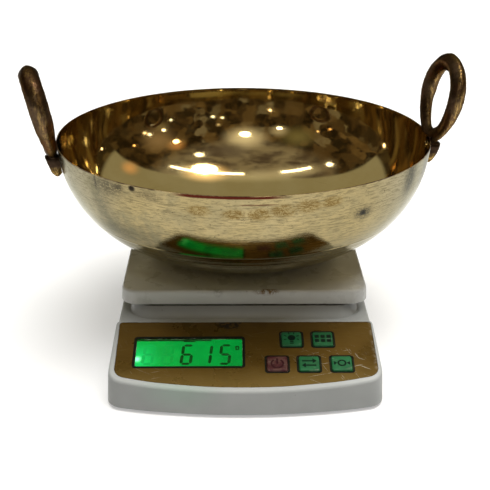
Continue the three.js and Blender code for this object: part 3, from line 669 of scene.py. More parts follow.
def mark_wear(obj, handle):
    """Stores how much hands have rubbed each point: the bar's outer and inner ridges and the lug's tip."""
    points = np.array([v.co for v in obj.data.vertices])
    points = np.c_[points, np.ones(len(points))]
    to_ring = np.array((TO_ROW @ ring_axes(handle)).inverted())
    to_rim = np.array((TO_ROW @ rim_axes(handle, WALL_LEAN)).inverted())
    ring, rim = points @ to_ring.T, points @ to_rim.T
    turns = np.linspace(0, 1, 241)[:-1]
    line = np.array([ring_centre(t) for t in turns])
    gaps = (ring[:, None, 1] - line[None, :, 1]) ** 2 + (ring[:, None, 2] - line[None, :, 2]) ** 2
    girth = np.array([RING["half_thickness"] * ring_girth(t, RING_FOOT["width"]) for t in turns])
    aside = np.sqrt(gaps.min(1)) / girth[gaps.argmin(1)]
    ridge = handle["worn"] * np.clip((aside - 0.72) / 0.25, 0, 1) * np.clip(ring[:, 2] / 4 + 0.5, 0, 1)
    tip = 1.4 * np.clip((-rim[:, 2] - 11) / 4, 0, 1)
    wear = obj.data.attributes.new("wear", "FLOAT", "POINT")
    wear.data.foreach_set("value", np.maximum(ridge, tip).astype(np.float32))


def build_rivet(side):
    """A hammered rivet head inside the bowl, with its shank through the lug."""
    seat = -BOWL["sheet"] - 0.2
    head = RIVET["head"]
    turns = np.linspace(0.12, math.pi / 2, 9)
    dome = [(head * math.sin(t), seat - 0.3 - RIVET["rise"] * math.cos(t)) for t in turns]
    profile = [*dome, (head, seat), (RIVET["radius"], seat + 0.01), (RIVET["radius"], 5)]
    rivet = turned(f"rivet_head_{side}", profile, rivet_axes(HANDLES[side]), 40)
    for vertex in rivet.data.vertices:
        p = (vertex.co - ORIGIN) / MM
        vertex.co += Vector((0, 0, 1)) * 0.12 * noise.noise(p / 2.5) * MM
    return smooth(rivet, 50)


# ---------------------------------------------------------------- materials


class Shader:
    """A material's node tree, with short calls for the nodes used here."""

    def __init__(self, name, **uniform):
        self.material = bpy.data.materials.new(name)
        self.material.use_nodes = True
        self.tree = self.material.node_tree
        self.surface = self.tree.nodes["Principled BSDF"]
        self.here = self.node("ShaderNodeTexCoord").outputs["Object"]
        for socket, value in uniform.items():
            self.surface.inputs[socket.replace("_", " ")].default_value = value

    def node(self, kind, **settings):
        made = self.tree.nodes.new(kind)
        for key, value in settings.items():
            setattr(made, key, value)
        return made

    def feed(self, socket, value):
        if isinstance(value, bpy.types.NodeSocket):
            self.tree.links.new(value, socket)
        elif isinstance(value, (tuple, list)) and len(value) == 3 and socket.type == "RGBA":
            socket.default_value = (*value, 1)
        else:
            socket.default_value = value

    def set(self, **sockets):
        for name, value in sockets.items():
            self.feed(self.surface.inputs[name.replace("_", " ")], value)
        return self

    def math(self, operation, a, b=0.5, clamp=False):
        made = self.node("ShaderNodeMath", operation=operation, use_clamp=clamp)
        self.feed(made.inputs[0], a)
        self.feed(made.inputs[1], b)
        return made.outputs[0]

    def vector(self, operation, a, b):
        made = self.node("ShaderNodeVectorMath", operation=operation)
        self.feed(made.inputs[0], a)
        self.feed(made.inputs[1], b)
        return made.outputs["Value" if operation in ("DISTANCE", "LENGTH") else "Vector"]

    def axes(self, origin, rotation=(0, 0, 0), where=None):
        """Position in millimetres about a point of the row frame, along turned axes."""
        made = self.node("ShaderNodeMapping", vector_type="TEXTURE")
        self.feed(made.inputs["Vector"], where or self.here)
        self.feed(made.inputs["Location"], tuple(origin))
        self.feed(made.inputs["Rotation"], tuple(rotation))
        self.feed(made.inputs["Scale"], (MM, MM, MM))
        return made.outputs[0]

    def panel_axes(self):
        """Millimetres across the panel, up its slope and away from it."""
        return self.axes(TO_ROW @ Vector((0, BODY_RIDGE, RIDGE_TOP)), (PANEL_SLOPE, 0, 0))

    def stretched(self, where, x, y, z):
        made = self.node("ShaderNodeMapping")
        self.feed(made.inputs["Vector"], where)
        self.feed(made.inputs["Scale"], (x, y, z))
        return made.outputs[0]

    def parts(self, where):
        made = self.node("ShaderNodeSeparateXYZ")
        self.feed(made.inputs[0], where)
        return made.outputs["X"], made.outputs["Y"], made.outputs["Z"]

    def joined(self, x, y, z):
        made = self.node("ShaderNodeCombineXYZ")
        for socket, value in zip(made.inputs, (x, y, z)):
            self.feed(socket, value)
        return made.outputs[0]

    def noise(self, where, size, detail=3.0, rough=0.55, bend=0.0):
        """Noise of about that size, in the coordinates' own unit."""
        made = self.node("ShaderNodeTexNoise")
        self.feed(made.inputs["Vector"], where)
        self.feed(made.inputs["Scale"], 1 / size)
        self.feed(made.inputs["Detail"], detail)
        self.feed(made.inputs["Roughness"], rough)
        self.feed(made.inputs["Distortion"], bend)
        return made.outputs["Fac"]

    def cells(self, where, size, feature="F1"):
        made = self.node("ShaderNodeTexVoronoi", feature=feature)
        self.feed(made.inputs["Vector"], where)
        self.feed(made.inputs["Scale"], 1 / size)
        return made.outputs["Distance"]

    def span(self, value, low, high, to_low=0.0, to_high=1.0):
        """The value's place between low and high, smoothly, held at both ends."""
        made = self.node("ShaderNodeMapRange", interpolation_type="SMOOTHSTEP")
        for name, number in (("Value", value), ("From Min", low), ("From Max", high)):
            self.feed(made.inputs[name], number)
        self.feed(made.inputs["To Min"], to_low)
        self.feed(made.inputs["To Max"], to_high)
        return made.outputs[0]

    def near(self, where, centre, radius, soft=0.5):
        """1 close to a point, falling to 0 at a radius."""
        return self.span(self.vector("DISTANCE", where, tuple(centre)), radius * (1 - soft), radius, 1, 0)

    def level(self, height, centre, half_width, soft=1):
        """1 at a height, falling to 0 at a distance above and below it."""
        return self.near(self.joined(0, 0, height), (0, 0, centre), half_width, soft)

    def mix(self, share, a, b):
        made = self.node("ShaderNodeMix", data_type="RGBA")
        self.feed(made.inputs["Factor"], share)
        self.feed(made.inputs[6], a)
        self.feed(made.inputs[7], b)
        return made.outputs[2]

    def times(self, *values):
        result = values[0]
        for value in values[1:]:
            result = self.math("MULTIPLY", result, value)
        return result

    def most(self, *values):
        result = values[0]
        for value in values[1:]:
            result = self.math("MAXIMUM", result, value)
        return result

    def hollows(self, distance):
        """1 in corners and under overhangs, 0 in the open."""
        made = self.node("ShaderNodeAmbientOcclusion", samples=6)
        self.feed(made.inputs["Distance"], distance * MM)
        return self.math("SUBTRACT", 1, made.outputs["AO"], clamp=True)

    def bump(self, height, distance, strength=1.0, onto=None):
        """Surface relief: distance is the height's full depth in millimetres."""
        made = self.node("ShaderNodeBump")
        self.feed(made.inputs["Height"], height)
        self.feed(made.inputs["Distance"], distance * MM)
        self.feed(made.inputs["Strength"], strength)
        if onto is not None:
            self.feed(made.inputs["Normal"], onto)
        return made.outputs[0]


def grey_plastic(name, colour, grime, rough=0.42, dirt=0.75):
    """Aged moulded plastic: mottled, with grime in its corners, specks and fine scuffs."""
    s = Shader(name, IOR=1.49)
    mm = s.axes(ORIGIN)
    mottle = s.span(s.noise(mm, 26, 5), 0.35, 0.7)
    base = s.mix(s.times(mottle, 0.35), colour, tuple(c * 0.82 for c in colour))
    corners = s.span(s.hollows(5), 0.32, 0.85)
    uneven = s.span(s.noise(mm, 7, 6, 0.7), 0.32, 0.62)
    base = s.mix(s.times(corners, uneven, dirt), base, grime)
    specks = s.span(s.cells(mm, 9), 0.06, 0.03)
    few = s.span(s.noise(mm, 30, 2), 0.52, 0.6)
    base = s.mix(s.times(specks, few, 0.5), base, (0.10, 0.08, 0.05))
    scuffs = s.span(s.noise(s.stretched(mm, 1, 0.12, 1), 1.3, 4, 0.8), 0.66, 0.75)
    base = s.mix(s.times(scuffs, 0.25), base, tuple(min(1, c * 1.25) for c in colour))
    s.set(Base_Color=base, Roughness=s.span(s.noise(mm, 11, 5), 0.3, 0.7, rough - 0.1, rough + 0.12))
    grain = s.bump(s.noise(mm, 0.55, 2), 0.02)
    s.set(Normal=s.bump(s.noise(mm, 22, 3), 0.12, onto=grain))
    return s


def white_abs():
    s = grey_plastic("white_abs", (0.42, 0.44, 0.44), (0.075, 0.045, 0.02), dirt=0.95)
    base = s.surface.inputs["Base Color"].links[0].from_socket
    mm = s.axes(ORIGIN)
    # Painted light: a faint green light spill on the front wall.
    glow = s.near(s.stretched(mm, 0.45, 1, 1), (-40 * 0.45, -140, 15), 16, 1)
    # Painted shade under the platform: the plinth darker towards its top.
    under_platform_shade = s.span(s.parts(mm)[2], 33.5, 39.5, 0, 0.5)
    base = s.mix(under_platform_shade, base, (0.085, 0.075, 0.055))
    s.set(Base_Color=s.mix(s.times(glow, 0.35), base, (0.30, 0.50, 0.37)))
    return s.material


def platform_abs():
    """The platform's plastic, with a brown stain and dark smudges on its front edge."""
    s = grey_plastic("platform_abs", (0.60, 0.61, 0.59), (0.075, 0.045, 0.02), 0.32)
    base = s.surface.inputs["Base Color"].links[0].from_socket
    mm = s.axes(ORIGIN)
    ragged = s.span(s.noise(mm, 2.6, 5, 0.75), 0.42, 0.56)
    stain = s.times(s.near(s.stretched(mm, 0.42, 1, 1.3), (0.42 * 14, -73.0, 1.3 * 50.4), 4.4, 0.6), ragged)
    base = s.mix(stain, base, (0.17, 0.09, 0.025))
    smudge = s.times(s.near(mm, (-17, -73.2, 50), 4.5, 0.8), ragged)
    base = s.mix(s.times(smudge, 0.45), base, (0.08, 0.07, 0.05))
    s.set(Base_Color=base)
    return s.material


def base_plastic():
    return grey_plastic("base_plastic", (0.33, 0.33, 0.30), (0.07, 0.05, 0.03), 0.5).material


def gold_film():
    """Satin gold printed film: fine brushed grain, a painted reflection that lightens its lower part, rubbed
    edges and pale scratches round the keys.
    """
    s = Shader("gold_film", Metallic=0.55, Specular_IOR_Level=0.5)
    mm = s.panel_axes()
    across, down, _ = s.parts(mm)
    grain = s.noise(s.stretched(mm, 0.06, 1.4, 1), 1.0, 4, 0.7)
    cloud = s.span(s.noise(mm, 24, 4), 0.3, 0.7)
    base = s.mix(cloud, (0.115, 0.065, 0.010), (0.143, 0.083, 0.014))
    base = s.mix(s.times(s.span(grain, 0.4, 0.7), 0.3), base, (0.20, 0.125, 0.03))
    # Painted reflection: the film lighter towards its lower edge.
    low = s.span(down, -38, -60, 0, 0.55)
    base = s.mix(low, base, (0.27, 0.19, 0.06))
    scratches = []
    for turn, reach, shift in ((0.5, 0.05, 0.0), (-0.25, 0.045, 3.0), (1.1, 0.06, 7.0)):
        turned_mm = s.node("ShaderNodeMapping")
        s.feed(turned_mm.inputs["Vector"], mm)
        s.feed(turned_mm.inputs["Location"], (shift, shift, 0))
        s.feed(turned_mm.inputs["Rotation"], (0, 0, turn))
        streak = s.noise(s.stretched(turned_mm.outputs[0], reach, 1.3, 1), 1.1, 3, 0.6, 0.15)
        scratches.append(s.span(streak, 0.665, 0.69))
    keys_side = s.times(s.near(s.stretched(mm, 0.8, 1, 1), (0.8 * 54, -42, 0), 26, 0.45), 0.95)
    corner = s.times(s.near(mm, (-62, -53, 0), 20, 0.8), 0.6)
    middle = s.times(s.near(mm, (2, -32, 0), 13, 0.6), 0.5)
    worn = s.times(s.most(*scratches), s.most(keys_side, corner, middle, 0.08))
    base = s.mix(worn, base, (0.62, 0.60, 0.50))
    edge = s.span(across, 78.4, 80.8)
    rubbed = s.times(edge, s.span(s.noise(mm, 5, 4, 0.7), 0.42, 0.6))
    base = s.mix(s.times(rubbed, 0.5), base, (0.42, 0.38, 0.29))
    smudge = s.times(
        s.near(s.stretched(mm, 0.5, 1, 1), (-9 * 0.5, -4.6, 0), 5.4, 0.5),
        s.span(s.noise(s.stretched(mm, 0.6, 1, 1), 2.6, 4, 0.7), 0.45, 0.52),
    )
    base = s.mix(smudge, base, (0.03, 0.022, 0.012))
    s.set(Base_Color=base, Roughness=s.span(cloud, 0, 1, 0.26, 0.38))
    s.set(Normal=s.bump(grain, 0.02))
    return s.material


def clear_window():
    """Thin clear cover, a little dusty and hairline scratched."""
    s = Shader("clear_window", Transmission_Weight=1, IOR=1.1)
    mm = s.axes(ORIGIN)
    dust = s.span(s.noise(mm, 6, 5, 0.8), 0.55, 0.8)
    s.set(Base_Color=s.mix(dust, (0.98, 1.0, 0.98), (0.90, 0.94, 0.90)))
    s.set(Roughness=s.span(dust, 0, 1, 0.02, 0.1))
    s.set(Normal=s.bump(s.noise(s.stretched(mm, 0.1, 1, 1), 1.2, 3), 0.004))
    return s.material


def lit_glass():
    """Back-lit green glass: brightest round the lamp at its left end, dimmer towards the far side."""
    s = Shader("lit_glass", Roughness=0.3, Specular_IOR_Level=0.1)
    mm = s.panel_axes()
    across, down, _ = s.parts(mm)
    left = WINDOW["x"] - WINDOW["width"] / 2
    spread = s.span(across, left, left + 67, 1.0, 0.72)
    cloud = s.span(s.noise(mm, 17, 3), 0.3, 0.7, 0.86, 1.08)
    lamp = s.near(mm, (left + 1.8, -35.0, 0), 4.2, 1)
    glow = s.near(mm, (left + 2, -34.5, 0), 17, 1)
    colour = s.mix(s.times(glow, 0.9), (0.002, 0.37, 0.046), (0.008, 0.66, 0.14))
    colour = s.mix(lamp, colour, (0.25, 1.0, 0.45))
    fine = s.span(s.noise(s.stretched(mm, 1, 0.2, 1), 0.9, 2), 0.3, 0.7, 0.95, 1.04)
    rim = s.span(s.math("ABSOLUTE", s.math("ADD", down, WINDOW["s"]), 0), 11.2, 12.6, 1, 0.72)
    strength = s.times(spread, cloud, fine, rim, s.span(lamp, 0, 1, 1.0, 2.6))
    s.set(Base_Color=s.mix(0.9, colour, (0.0, 0.02, 0.004)))
    s.set(Emission_Color=colour, Emission_Strength=strength)
    return s.material


def display_ink():
    """Dark segments of the liquid crystal, slightly uneven."""
    s = Shader("display_ink", Specular_IOR_Level=0.05)
    mm = s.axes(ORIGIN)
    patch = s.noise(mm, 2.5, 3)
    s.set(Base_Color=s.mix(patch, (0.002, 0.012, 0.003), (0.005, 0.022, 0.006)), Roughness=0.5)
    s.set(Emission_Color=(0.012, 0.13, 0.02), Emission_Strength=s.span(patch, 0.3, 0.7, 0.2, 0.4))
    return s.material


def idle_ink():
    """Unlit segments: barely darker than the glass round them."""
    s = Shader("idle_ink", Specular_IOR_Level=0.1, Base_Color=(0, 0.015, 0.003, 1))
    mm = s.axes(ORIGIN)
    s.set(Emission_Color=s.mix(s.span(s.parts(mm)[0], -64, -44), (0.005, 0.47, 0.085), (0.002, 0.33, 0.042)))
    s.set(Emission_Strength=s.span(s.noise(mm, 1.5, 2), 0.3, 0.7, 0.93, 1.02))
    return s.material


def key_rubber(name, colour, worn_colour, wear):
    """Printed key: its colour rubbed away in patches and along the rounded edges."""
    s = Shader(name, IOR=1.46)
    mm = s.panel_axes()
    patch = s.span(s.noise(mm, 4.5, 5, 0.7), 0.62 - wear * 0.25, 0.72 - wear * 0.2)
    base = s.mix(s.span(s.noise(mm, 7, 3), 0.3, 0.7), colour, tuple(c * 0.72 for c in colour))
    base = s.mix(s.times(patch, 0.85), base, worn_colour)
    scrape = s.span(s.noise(s.stretched(mm, 0.12, 1.5, 1), 1.0, 3), 0.66, 0.7)
    base = s.mix(s.times(scrape, 0.3 + wear * 0.6), base, (0.45, 0.42, 0.36))
    s.set(Base_Color=base, Roughness=s.span(s.noise(mm, 3, 3), 0.3, 0.7, 0.36, 0.5))
    s.set(Normal=s.bump(s.noise(mm, 0.8, 3), 0.02))
    return s.material


def dark_print(name, colour, rough=0.45):
    s = Shader(name, Specular_IOR_Level=0.15)
    mm = s.axes(ORIGIN)
    rubbed = s.span(s.noise(mm, 1.4, 5, 0.75), 0.5, 0.75)
    s.set(Base_Color=s.mix(rubbed, colour, tuple(c * 2.2 + 0.01 for c in colour)))
    s.set(Roughness=s.span(s.noise(mm, 2, 2), 0.3, 0.7, rough - 0.06, rough + 0.1))
    return s.material


BOWL_ORIGIN = place(0, 0, BOWL_BOTTOM)


def bowl_coordinates(s, reach=0.03):
    """Position about the bowl's bottom in mm, its height, and noise axes that draw lines round the bowl."""
    mm = s.axes(BOWL_ORIGIN)
    x, y, z = s.parts(mm)
    radius = s.vector("LENGTH", s.joined(x, y, 0), (0, 0, 0))
    along = s.math("ADD", radius, z)
    return mm, z, s.joined(s.math("MULTIPLY", x, reach), s.math("MULTIPLY", y, reach), along)


# Marks on the bowl's outside, about its bottom's middle in mm: place, stretch, radius, softness, depth,
# whether its edge is ragged, colour
BOWL_MARKS = (
    ((70.1, -100.1, 64.1), (1, 1, 1.5), 11, 0.95, 1.0, True, (0.04, 0.037, 0.03)),
    ((70.1, -100.1, 64.1), (1, 1, 1.4), 3.6, 0.8, 1.0, False, (0.025, 0.023, 0.020)),
    ((-66.7, -106.2, 81.6), (0.8, 0.8, 1), 2.6, 0.6, 1.0, False, (0.015, 0.012, 0.009)),
    ((-75.5, -100.0, 80.3), (0.6, 0.6, 1), 3.4, 0.7, 0.8, True, (0.03, 0.026, 0.018)),
    ((-82.0, -94.0, 78.5), (0.4, 0.4, 1), 9, 0.9, 0.8, True, (0.07, 0.06, 0.04)),
    ((-58.0, -111.0, 79.0), (0.4, 0.4, 1), 6, 0.9, 0.6, True, (0.09, 0.07, 0.04)),
    ((102.2, -71.3, 75.4), (1, 1, 0.6), 12, 0.9, 1.0, True, (0.045, 0.042, 0.035)),
    ((116.2, -44.9, 76.5), (1, 1, 0.6), 13, 0.9, 1.0, True, (0.028, 0.026, 0.023)),
    ((-87.8, -86.2, 65.0), (0.8, 0.8, 0.6), 12, 0.9, 0.6, True, (0.11, 0.10, 0.07)),
    ((-76.9, -84.5, 47.0), (0.7, 0.7, 1.2), 13, 0.9, 0.65, True, (0.08, 0.075, 0.05)),
    ((56.0, -109.0, 53.5), (1, 1, 1), 2.4, 0.8, 0.9, True, (0.06, 0.045, 0.03)),
    ((-35.0, -112.0, 47.0), (0.6, 0.6, 1.2), 5, 0.8, 0.6, True, (0.09, 0.07, 0.03)),
)
# Brown stains in a band under the rim: place and radius, and how much flatter than wide they are
STAIN_SQUEEZE = 2
BOWL_STAINS = (
    ((-27.0, -121.0, 73.5), 9),
    ((-7.0, -123.9, 72.0), 9),
    ((8.0, -123.8, 71.8), 10),
    ((22.0, -122.5, 73.8), 11),
    ((36.0, -119.5, 75.3), 11),
    ((50.0, -114.5, 76.2), 9),
)


# Fine ridges left by turning on the lower side: height, half-width in mm, share of the full ridge
TURNED_RINGS = ((38.0, 1.1, 1.0), (33.4, 0.8, 0.35), (29.8, 1.2, 0.9), (24.5, 1.0, 0.5))


def brass_marks(s, mm, base):
    """The base colour with the dark marks on it; those at the right edge are hatched."""
    x = s.parts(mm)[0]
    ragged = s.span(s.noise(s.stretched(mm, 1, 1, 1.8), 1.7, 5, 0.85), 0.38, 0.52)
    hatching = s.span(s.noise(s.stretched(mm, 1, 1, 0.22), 1.3, 3, 0.7, 0.3), 0.46, 0.54)
    ragged = s.most(ragged, s.times(hatching, s.span(x, 84, 96)))
    for place_mm, stretch, size, soft, depth, rough_edge, colour in BOWL_MARKS:
        centre = tuple(p * k for p, k in zip(place_mm, stretch))
        mark = s.times(s.near(s.stretched(mm, *stretch), centre, size, soft), depth)
        base = s.mix(s.times(mark, ragged) if rough_edge else mark, base, colour)
    return base, ragged


def brass_stains(s, mm, base):
    """The base colour with brown stains, veined and speckled, on a faint brown ground."""
    folds = s.noise(s.stretched(mm, 0.8, 0.8, 1.5), 5.0, 5, 0.75, 0.8)
    veins = s.span(s.math("ABSOLUTE", s.math("SUBTRACT", folds, 0.5), 0), 0.05, 0.015)
    speckles = s.span(s.noise(s.stretched(mm, 0.7, 0.7, 1.8), 2.2, 5, 0.8), 0.53, 0.6)
    spots = [
        s.near(s.stretched(mm, 1, 1, STAIN_SQUEEZE), (x, y, z * STAIN_SQUEEZE), size, 0.6)
        for (x, y, z), size in BOWL_STAINS
    ]
    stain = s.most(*spots)
    base = s.mix(s.times(stain, s.most(veins, speckles), 0.95), base, (0.11, 0.058, 0.012))
    return s.mix(s.times(stain, 0.3), base, (0.24, 0.165, 0.05))


def brushed_brass():
    """The bowl's outside: pale brass with close lathe marks, grey patches, stains and scuffs, and a painted
    reflection greying its sides.
    """
    s = Shader("brushed_brass", Metallic=1, Specular_Tint=(0.78, 0.78, 0.72, 1))
    mm, z, turned_mm = bowl_coordinates(s, 0.1)
    x = s.parts(mm)[0]
    long_mm = bowl_coordinates(s, 0.02)[2]
    dashes = s.noise(turned_mm, 0.8, 4, 0.7)
    lines = s.noise(long_mm, 1.3, 4, 0.7)
    cloud = s.span(s.noise(mm, 38, 4), 0.3, 0.7)
    base = s.mix(cloud, (0.350, 0.278, 0.132), (0.400, 0.322, 0.163))
    # Painted reflection: the sides, away from the middle, greyed as if mirroring pale surroundings.
    aside = s.span(s.math("ABSOLUTE", x, 0), 62, 112)
    base = s.mix(s.times(aside, 0.85), base, (0.285, 0.267, 0.198))
    # Darker grey patches, heavier towards the left side.
    left_grey_patches = s.times(s.span(s.noise(mm, 20, 5, 0.7), 0.42, 0.68), s.span(x, -10, -80, 0.35, 0.9))
    base = s.mix(left_grey_patches, base, (0.205, 0.185, 0.110))
    base = s.mix(s.span(dashes, 0.50, 0.585, 0, 0.62), base, (0.115, 0.095, 0.050))
    base = s.mix(s.span(lines, 0.56, 0.72, 0, 0.22), base, (0.14, 0.11, 0.055))
    flecks = s.span(s.noise(s.stretched(mm, 1, 1, 1.6), 2.4, 6, 0.8), 0.57, 0.66)
    specks = s.times(flecks, s.span(z, 34, 56))
    base = s.mix(s.times(specks, 0.7), base, (0.10, 0.085, 0.045))
    base, ragged = brass_marks(s, mm, base)
    base = brass_stains(s, mm, base)
    drip_at, drip_squeeze = (-90.2, -86.6, 78.5), 0.16
    drip_near = (*drip_at[:2], drip_at[2] * drip_squeeze)
    drip = s.times(s.near(s.stretched(mm, 1, 1, drip_squeeze), drip_near, 1.4, 0.6), ragged)
    base = s.mix(drip, base, (0.07, 0.06, 0.045))
    under_rim = s.times(s.span(z, 81.3, 81.9), s.span(x, -46, -34), s.span(x, 28, 12))
    second = s.times(s.level(z, 78, 0.5, 0.5), s.span(x, -6, -1), s.span(x, 20, 14))
    base = s.mix(s.most(under_rim, s.times(second, 0.7)), base, (0.075, 0.014, 0.008))
    matt = s.span(z, 52, 68, 0.035, 0.24)
    s.set(Base_Color=base, Roughness=s.math("ADD", matt, s.times(specks, 0.2)))
    ridges = s.most(*[s.times(s.level(z, *ring), share) for *ring, share in TURNED_RINGS])
    belly = s.bump(s.span(z, 15, 80), 1.9)
    dents = s.bump(ridges, 0.22, onto=s.bump(s.noise(long_mm, 4.5, 2), 0.03, onto=belly))
    s.set(Normal=s.bump(s.math("ADD", dashes, lines), 0.035, onto=dents))
    return s.material


def polished_brass():
    """The bowl's inside: mirror polish with faint wipe marks and deeper colour."""
    s = Shader("polished_brass", Metallic=1)
    mm, _, turned_mm = bowl_coordinates(s)
    cloud = s.span(s.noise(mm, 30, 4), 0.3, 0.7)
    base = s.mix(cloud, (0.70, 0.545, 0.26), (0.76, 0.61, 0.32))
    wiped = s.span(s.noise(turned_mm, 1.2, 4, 0.7), 0.55, 0.75)
    base = s.mix(s.times(wiped, 0.25), base, (0.5, 0.37, 0.16))
    base = s.mix(s.near(mm, (1 - BOWL["rim"], 2, 71), 3, 0.4), base, (0.02, 0.014, 0.008))
    s.set(Base_Color=base, Roughness=s.span(s.noise(mm, 14, 5, 0.7), 0.35, 0.7, 0.045, 0.1))
    s.set(Normal=s.bump(s.noise(turned_mm, 2.2, 2), 0.006))
    return s.material


def rim_brass():
    """The cut edge of the rim, darkened red-brown in places."""
    s = Shader("rim_brass", Metallic=0.9)
    mm = s.axes(BOWL_ORIGIN)
    dark = s.span(s.noise(mm, 22, 4, 0.7), 0.36, 0.56)
    s.set(Base_Color=s.mix(dark, (0.50, 0.37, 0.17), (0.055, 0.012, 0.008)))
    s.set(Roughness=s.span(dark, 0, 1, 0.25, 0.5))
    s.set(Normal=s.bump(s.noise(mm, 1.2, 3), 0.05))
    return s.material


def aged_brass(name):
    """Old cast brass: dark copper-brown patina, with bright metal where hands have worn it."""
    s = Shader(name, Metallic=1, Specular_Tint=(0.42, 0.40, 0.37, 1))
    mm = s.axes(ORIGIN)
    cloud = s.span(s.noise(mm, 9, 5, 0.65), 0.32, 0.68)
    base = s.mix(cloud, (0.060, 0.040, 0.024), (0.105, 0.066, 0.039))
    copper = s.span(s.noise(mm, 16, 4), 0.50, 0.7)
    base = s.mix(s.times(copper, 0.55), base, (0.12, 0.052, 0.034))
    # Painted shade: the metal below the rim, on the lugs, darker.
    base = s.mix(s.span(s.parts(mm)[2], 135, 130, 0, 0.7), base, (0.02, 0.012, 0.008))
    wear = s.node("ShaderNodeAttribute", attribute_name="wear").outputs["Fac"]
    streaks = s.span(s.noise(s.stretched(mm, 1.6, 1.6, 0.35), 2.2, 5, 0.75), 0.44, 0.62)
    worn = s.math("MULTIPLY", wear, s.span(streaks, 0, 1, 0.12, 1), clamp=True)
    base = s.mix(worn, base, (0.46, 0.30, 0.10))
    pits = s.span(s.noise(mm, 1.5, 3, 0.6), 0.56, 0.72)
    base = s.mix(s.times(pits, 0.6), base, (0.015, 0.009, 0.006))
    s.set(Base_Color=base, Roughness=s.span(worn, 0, 1, 0.33, 0.22))
    s.set(Normal=s.bump(s.noise(mm, 0.9, 4, 0.6), 0.13))
    return s.material


def black_rubber():
    s = Shader("black_rubber")
    mm = s.axes(ORIGIN)
    dust = s.span(s.noise(mm, 3, 5, 0.7), 0.45, 0.75)
    s.set(Base_Color=s.mix(dust, (0.018, 0.017, 0.015), (0.075, 0.07, 0.06)), Roughness=0.82)
    s.set(Normal=s.bump(s.noise(mm, 0.7, 3), 0.06))
    return s.material


def plain_metal(name, colour, rough, size=0.8, stretch=(0.1, 1, 1)):
    """Drawn or machined metal with a fine directional grain."""
    s = Shader(name, Metallic=1)
    mm = s.axes(ORIGIN)
    grain = s.noise(s.stretched(mm, *stretch), size, 4, 0.65)
    spots = s.span(s.noise(mm, 6, 4), 0.35, 0.7)
    s.set(Base_Color=s.mix(s.times(spots, 0.5), colour, tuple(c * 0.7 for c in colour)))
    s.set(Roughness=s.span(grain, 0.3, 0.7, rough - 0.08, rough + 0.1), Normal=s.bump(grain, 0.02))
    return s.material


def plain_solid(name, colour, rough, size=2.0, depth=0.03, other=None):
    """Moulded or coated part with soft colour variation and fine relief."""
    s = Shader(name)
    mm = s.axes(ORIGIN)
    patch = s.span(s.noise(mm, size * 3, 4), 0.3, 0.7)
    s.set(Base_Color=s.mix(patch, colour, other or tuple(c * 0.75 for c in colour)))
    s.set(Roughness=s.span(s.noise(mm, size, 3), 0.3, 0.7, rough - 0.07, rough + 0.07))
    s.set(Normal=s.bump(s.noise(mm, size * 0.4, 3), depth))
    return s.material


def circuit_board():
    """Green solder mask with copper lines under it."""
    s = Shader("circuit_board")
    mm = s.axes(ORIGIN)
    lines = s.span(s.cells(s.stretched(mm, 1, 1, 0.01), 5, "DISTANCE_TO_EDGE"), 0.09, 0.05)
    s.set(Base_Color=s.mix(lines, (0.01, 0.11, 0.04), (0.03, 0.2, 0.07)), Roughness=0.35)
    s.set(Normal=s.bump(lines, 0.03))
    return s.material


# ---------------------------------------------------------------- assembly


def dress(obj, *materials):
    """Gives an object these materials, first to last."""
    kinds = [p.material_index for p in obj.data.polygons]
    obj.data.materials.clear()
    for material in materials:
        obj.data.materials.append(material)
    obj.data.polygons.foreach_set("material_index", [min(k, len(materials) - 1) for k in kinds])
    return obj


def add(obj, body, slot, replaced, *materials):
    dress(obj, *materials)
    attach(obj, body)
    if replaced:
        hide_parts(*replaced)
    return obj


def add_housing():
    add(build_shell(), "housing", "white_plastic", ["top_shell"], white_abs())
    add(build_platform(), "platform", "platform_plastic", ["platform"], platform_abs())
    rubber = black_rubber()
    for i, (x, y) in enumerate(FOOT_PLACES, 1):
        add(build_foot(i, x, y), "housing", "rubber", [f"foot_{i}"], rubber)


def add_panel():
    add(build_film(), "housing", "gold_film", ["faceplate"], gold_film())
    add(build_window(), "housing", "window_acrylic", ["display_window"], clear_window())
    ink = dark_print("outline_ink", (0.006, 0.008, 0.006))
    add(build_print(), "housing", "gold_film", [], ink)
    add(build_glass(), "housing", "display", ["display_glass"], lit_glass())
    digits = display_ink()
    add(build_reading(), "housing", "display", [], digits)
    # Painted shadow along the glass's top, in the digits' ink.
    add(build_edge_shadow(), "housing", "display", [], digits)
    add(build_idle_digits(), "housing", "display", [], idle_ink())
    green = key_rubber("green_key_rubber", (0.011, 0.125, 0.043), (0.03, 0.175, 0.078), 0.15)
    red = key_rubber("red_key_rubber", (0.062, 0.011, 0.017), (0.10, 0.045, 0.038), 0.8)
    green_mark = dark_print("green_key_mark", (0.002, 0.008, 0.006))
    red_mark = dark_print("red_key_mark", (0.03, 0.008, 0.01))
    for key in KEYS:
        power = key == "power"
        slot = "red_key" if power else "green_key"
        add(build_key(key), f"key_{key}", slot, [f"key_{key}"], red if power else green)
        add(build_mark(key), f"key_{key}", slot, [], red_mark if power else green_mark)


def add_bowl():
    add(build_bowl(), "bowl", "brass", ["bowl"], brushed_brass(), polished_brass(), rim_brass())
    patina = aged_brass("aged_brass")
    hammered = plain_metal("hammered_brass", (0.42, 0.31, 0.13), 0.17, 1.6, (1, 1, 1))
    for side in HANDLES:
        add(build_handle(side), "bowl", "aged_brass", [f"handle_{side}"], patina)
        add(build_rivet(side), "bowl", "brass", [f"rivet_{side}"], hammered)


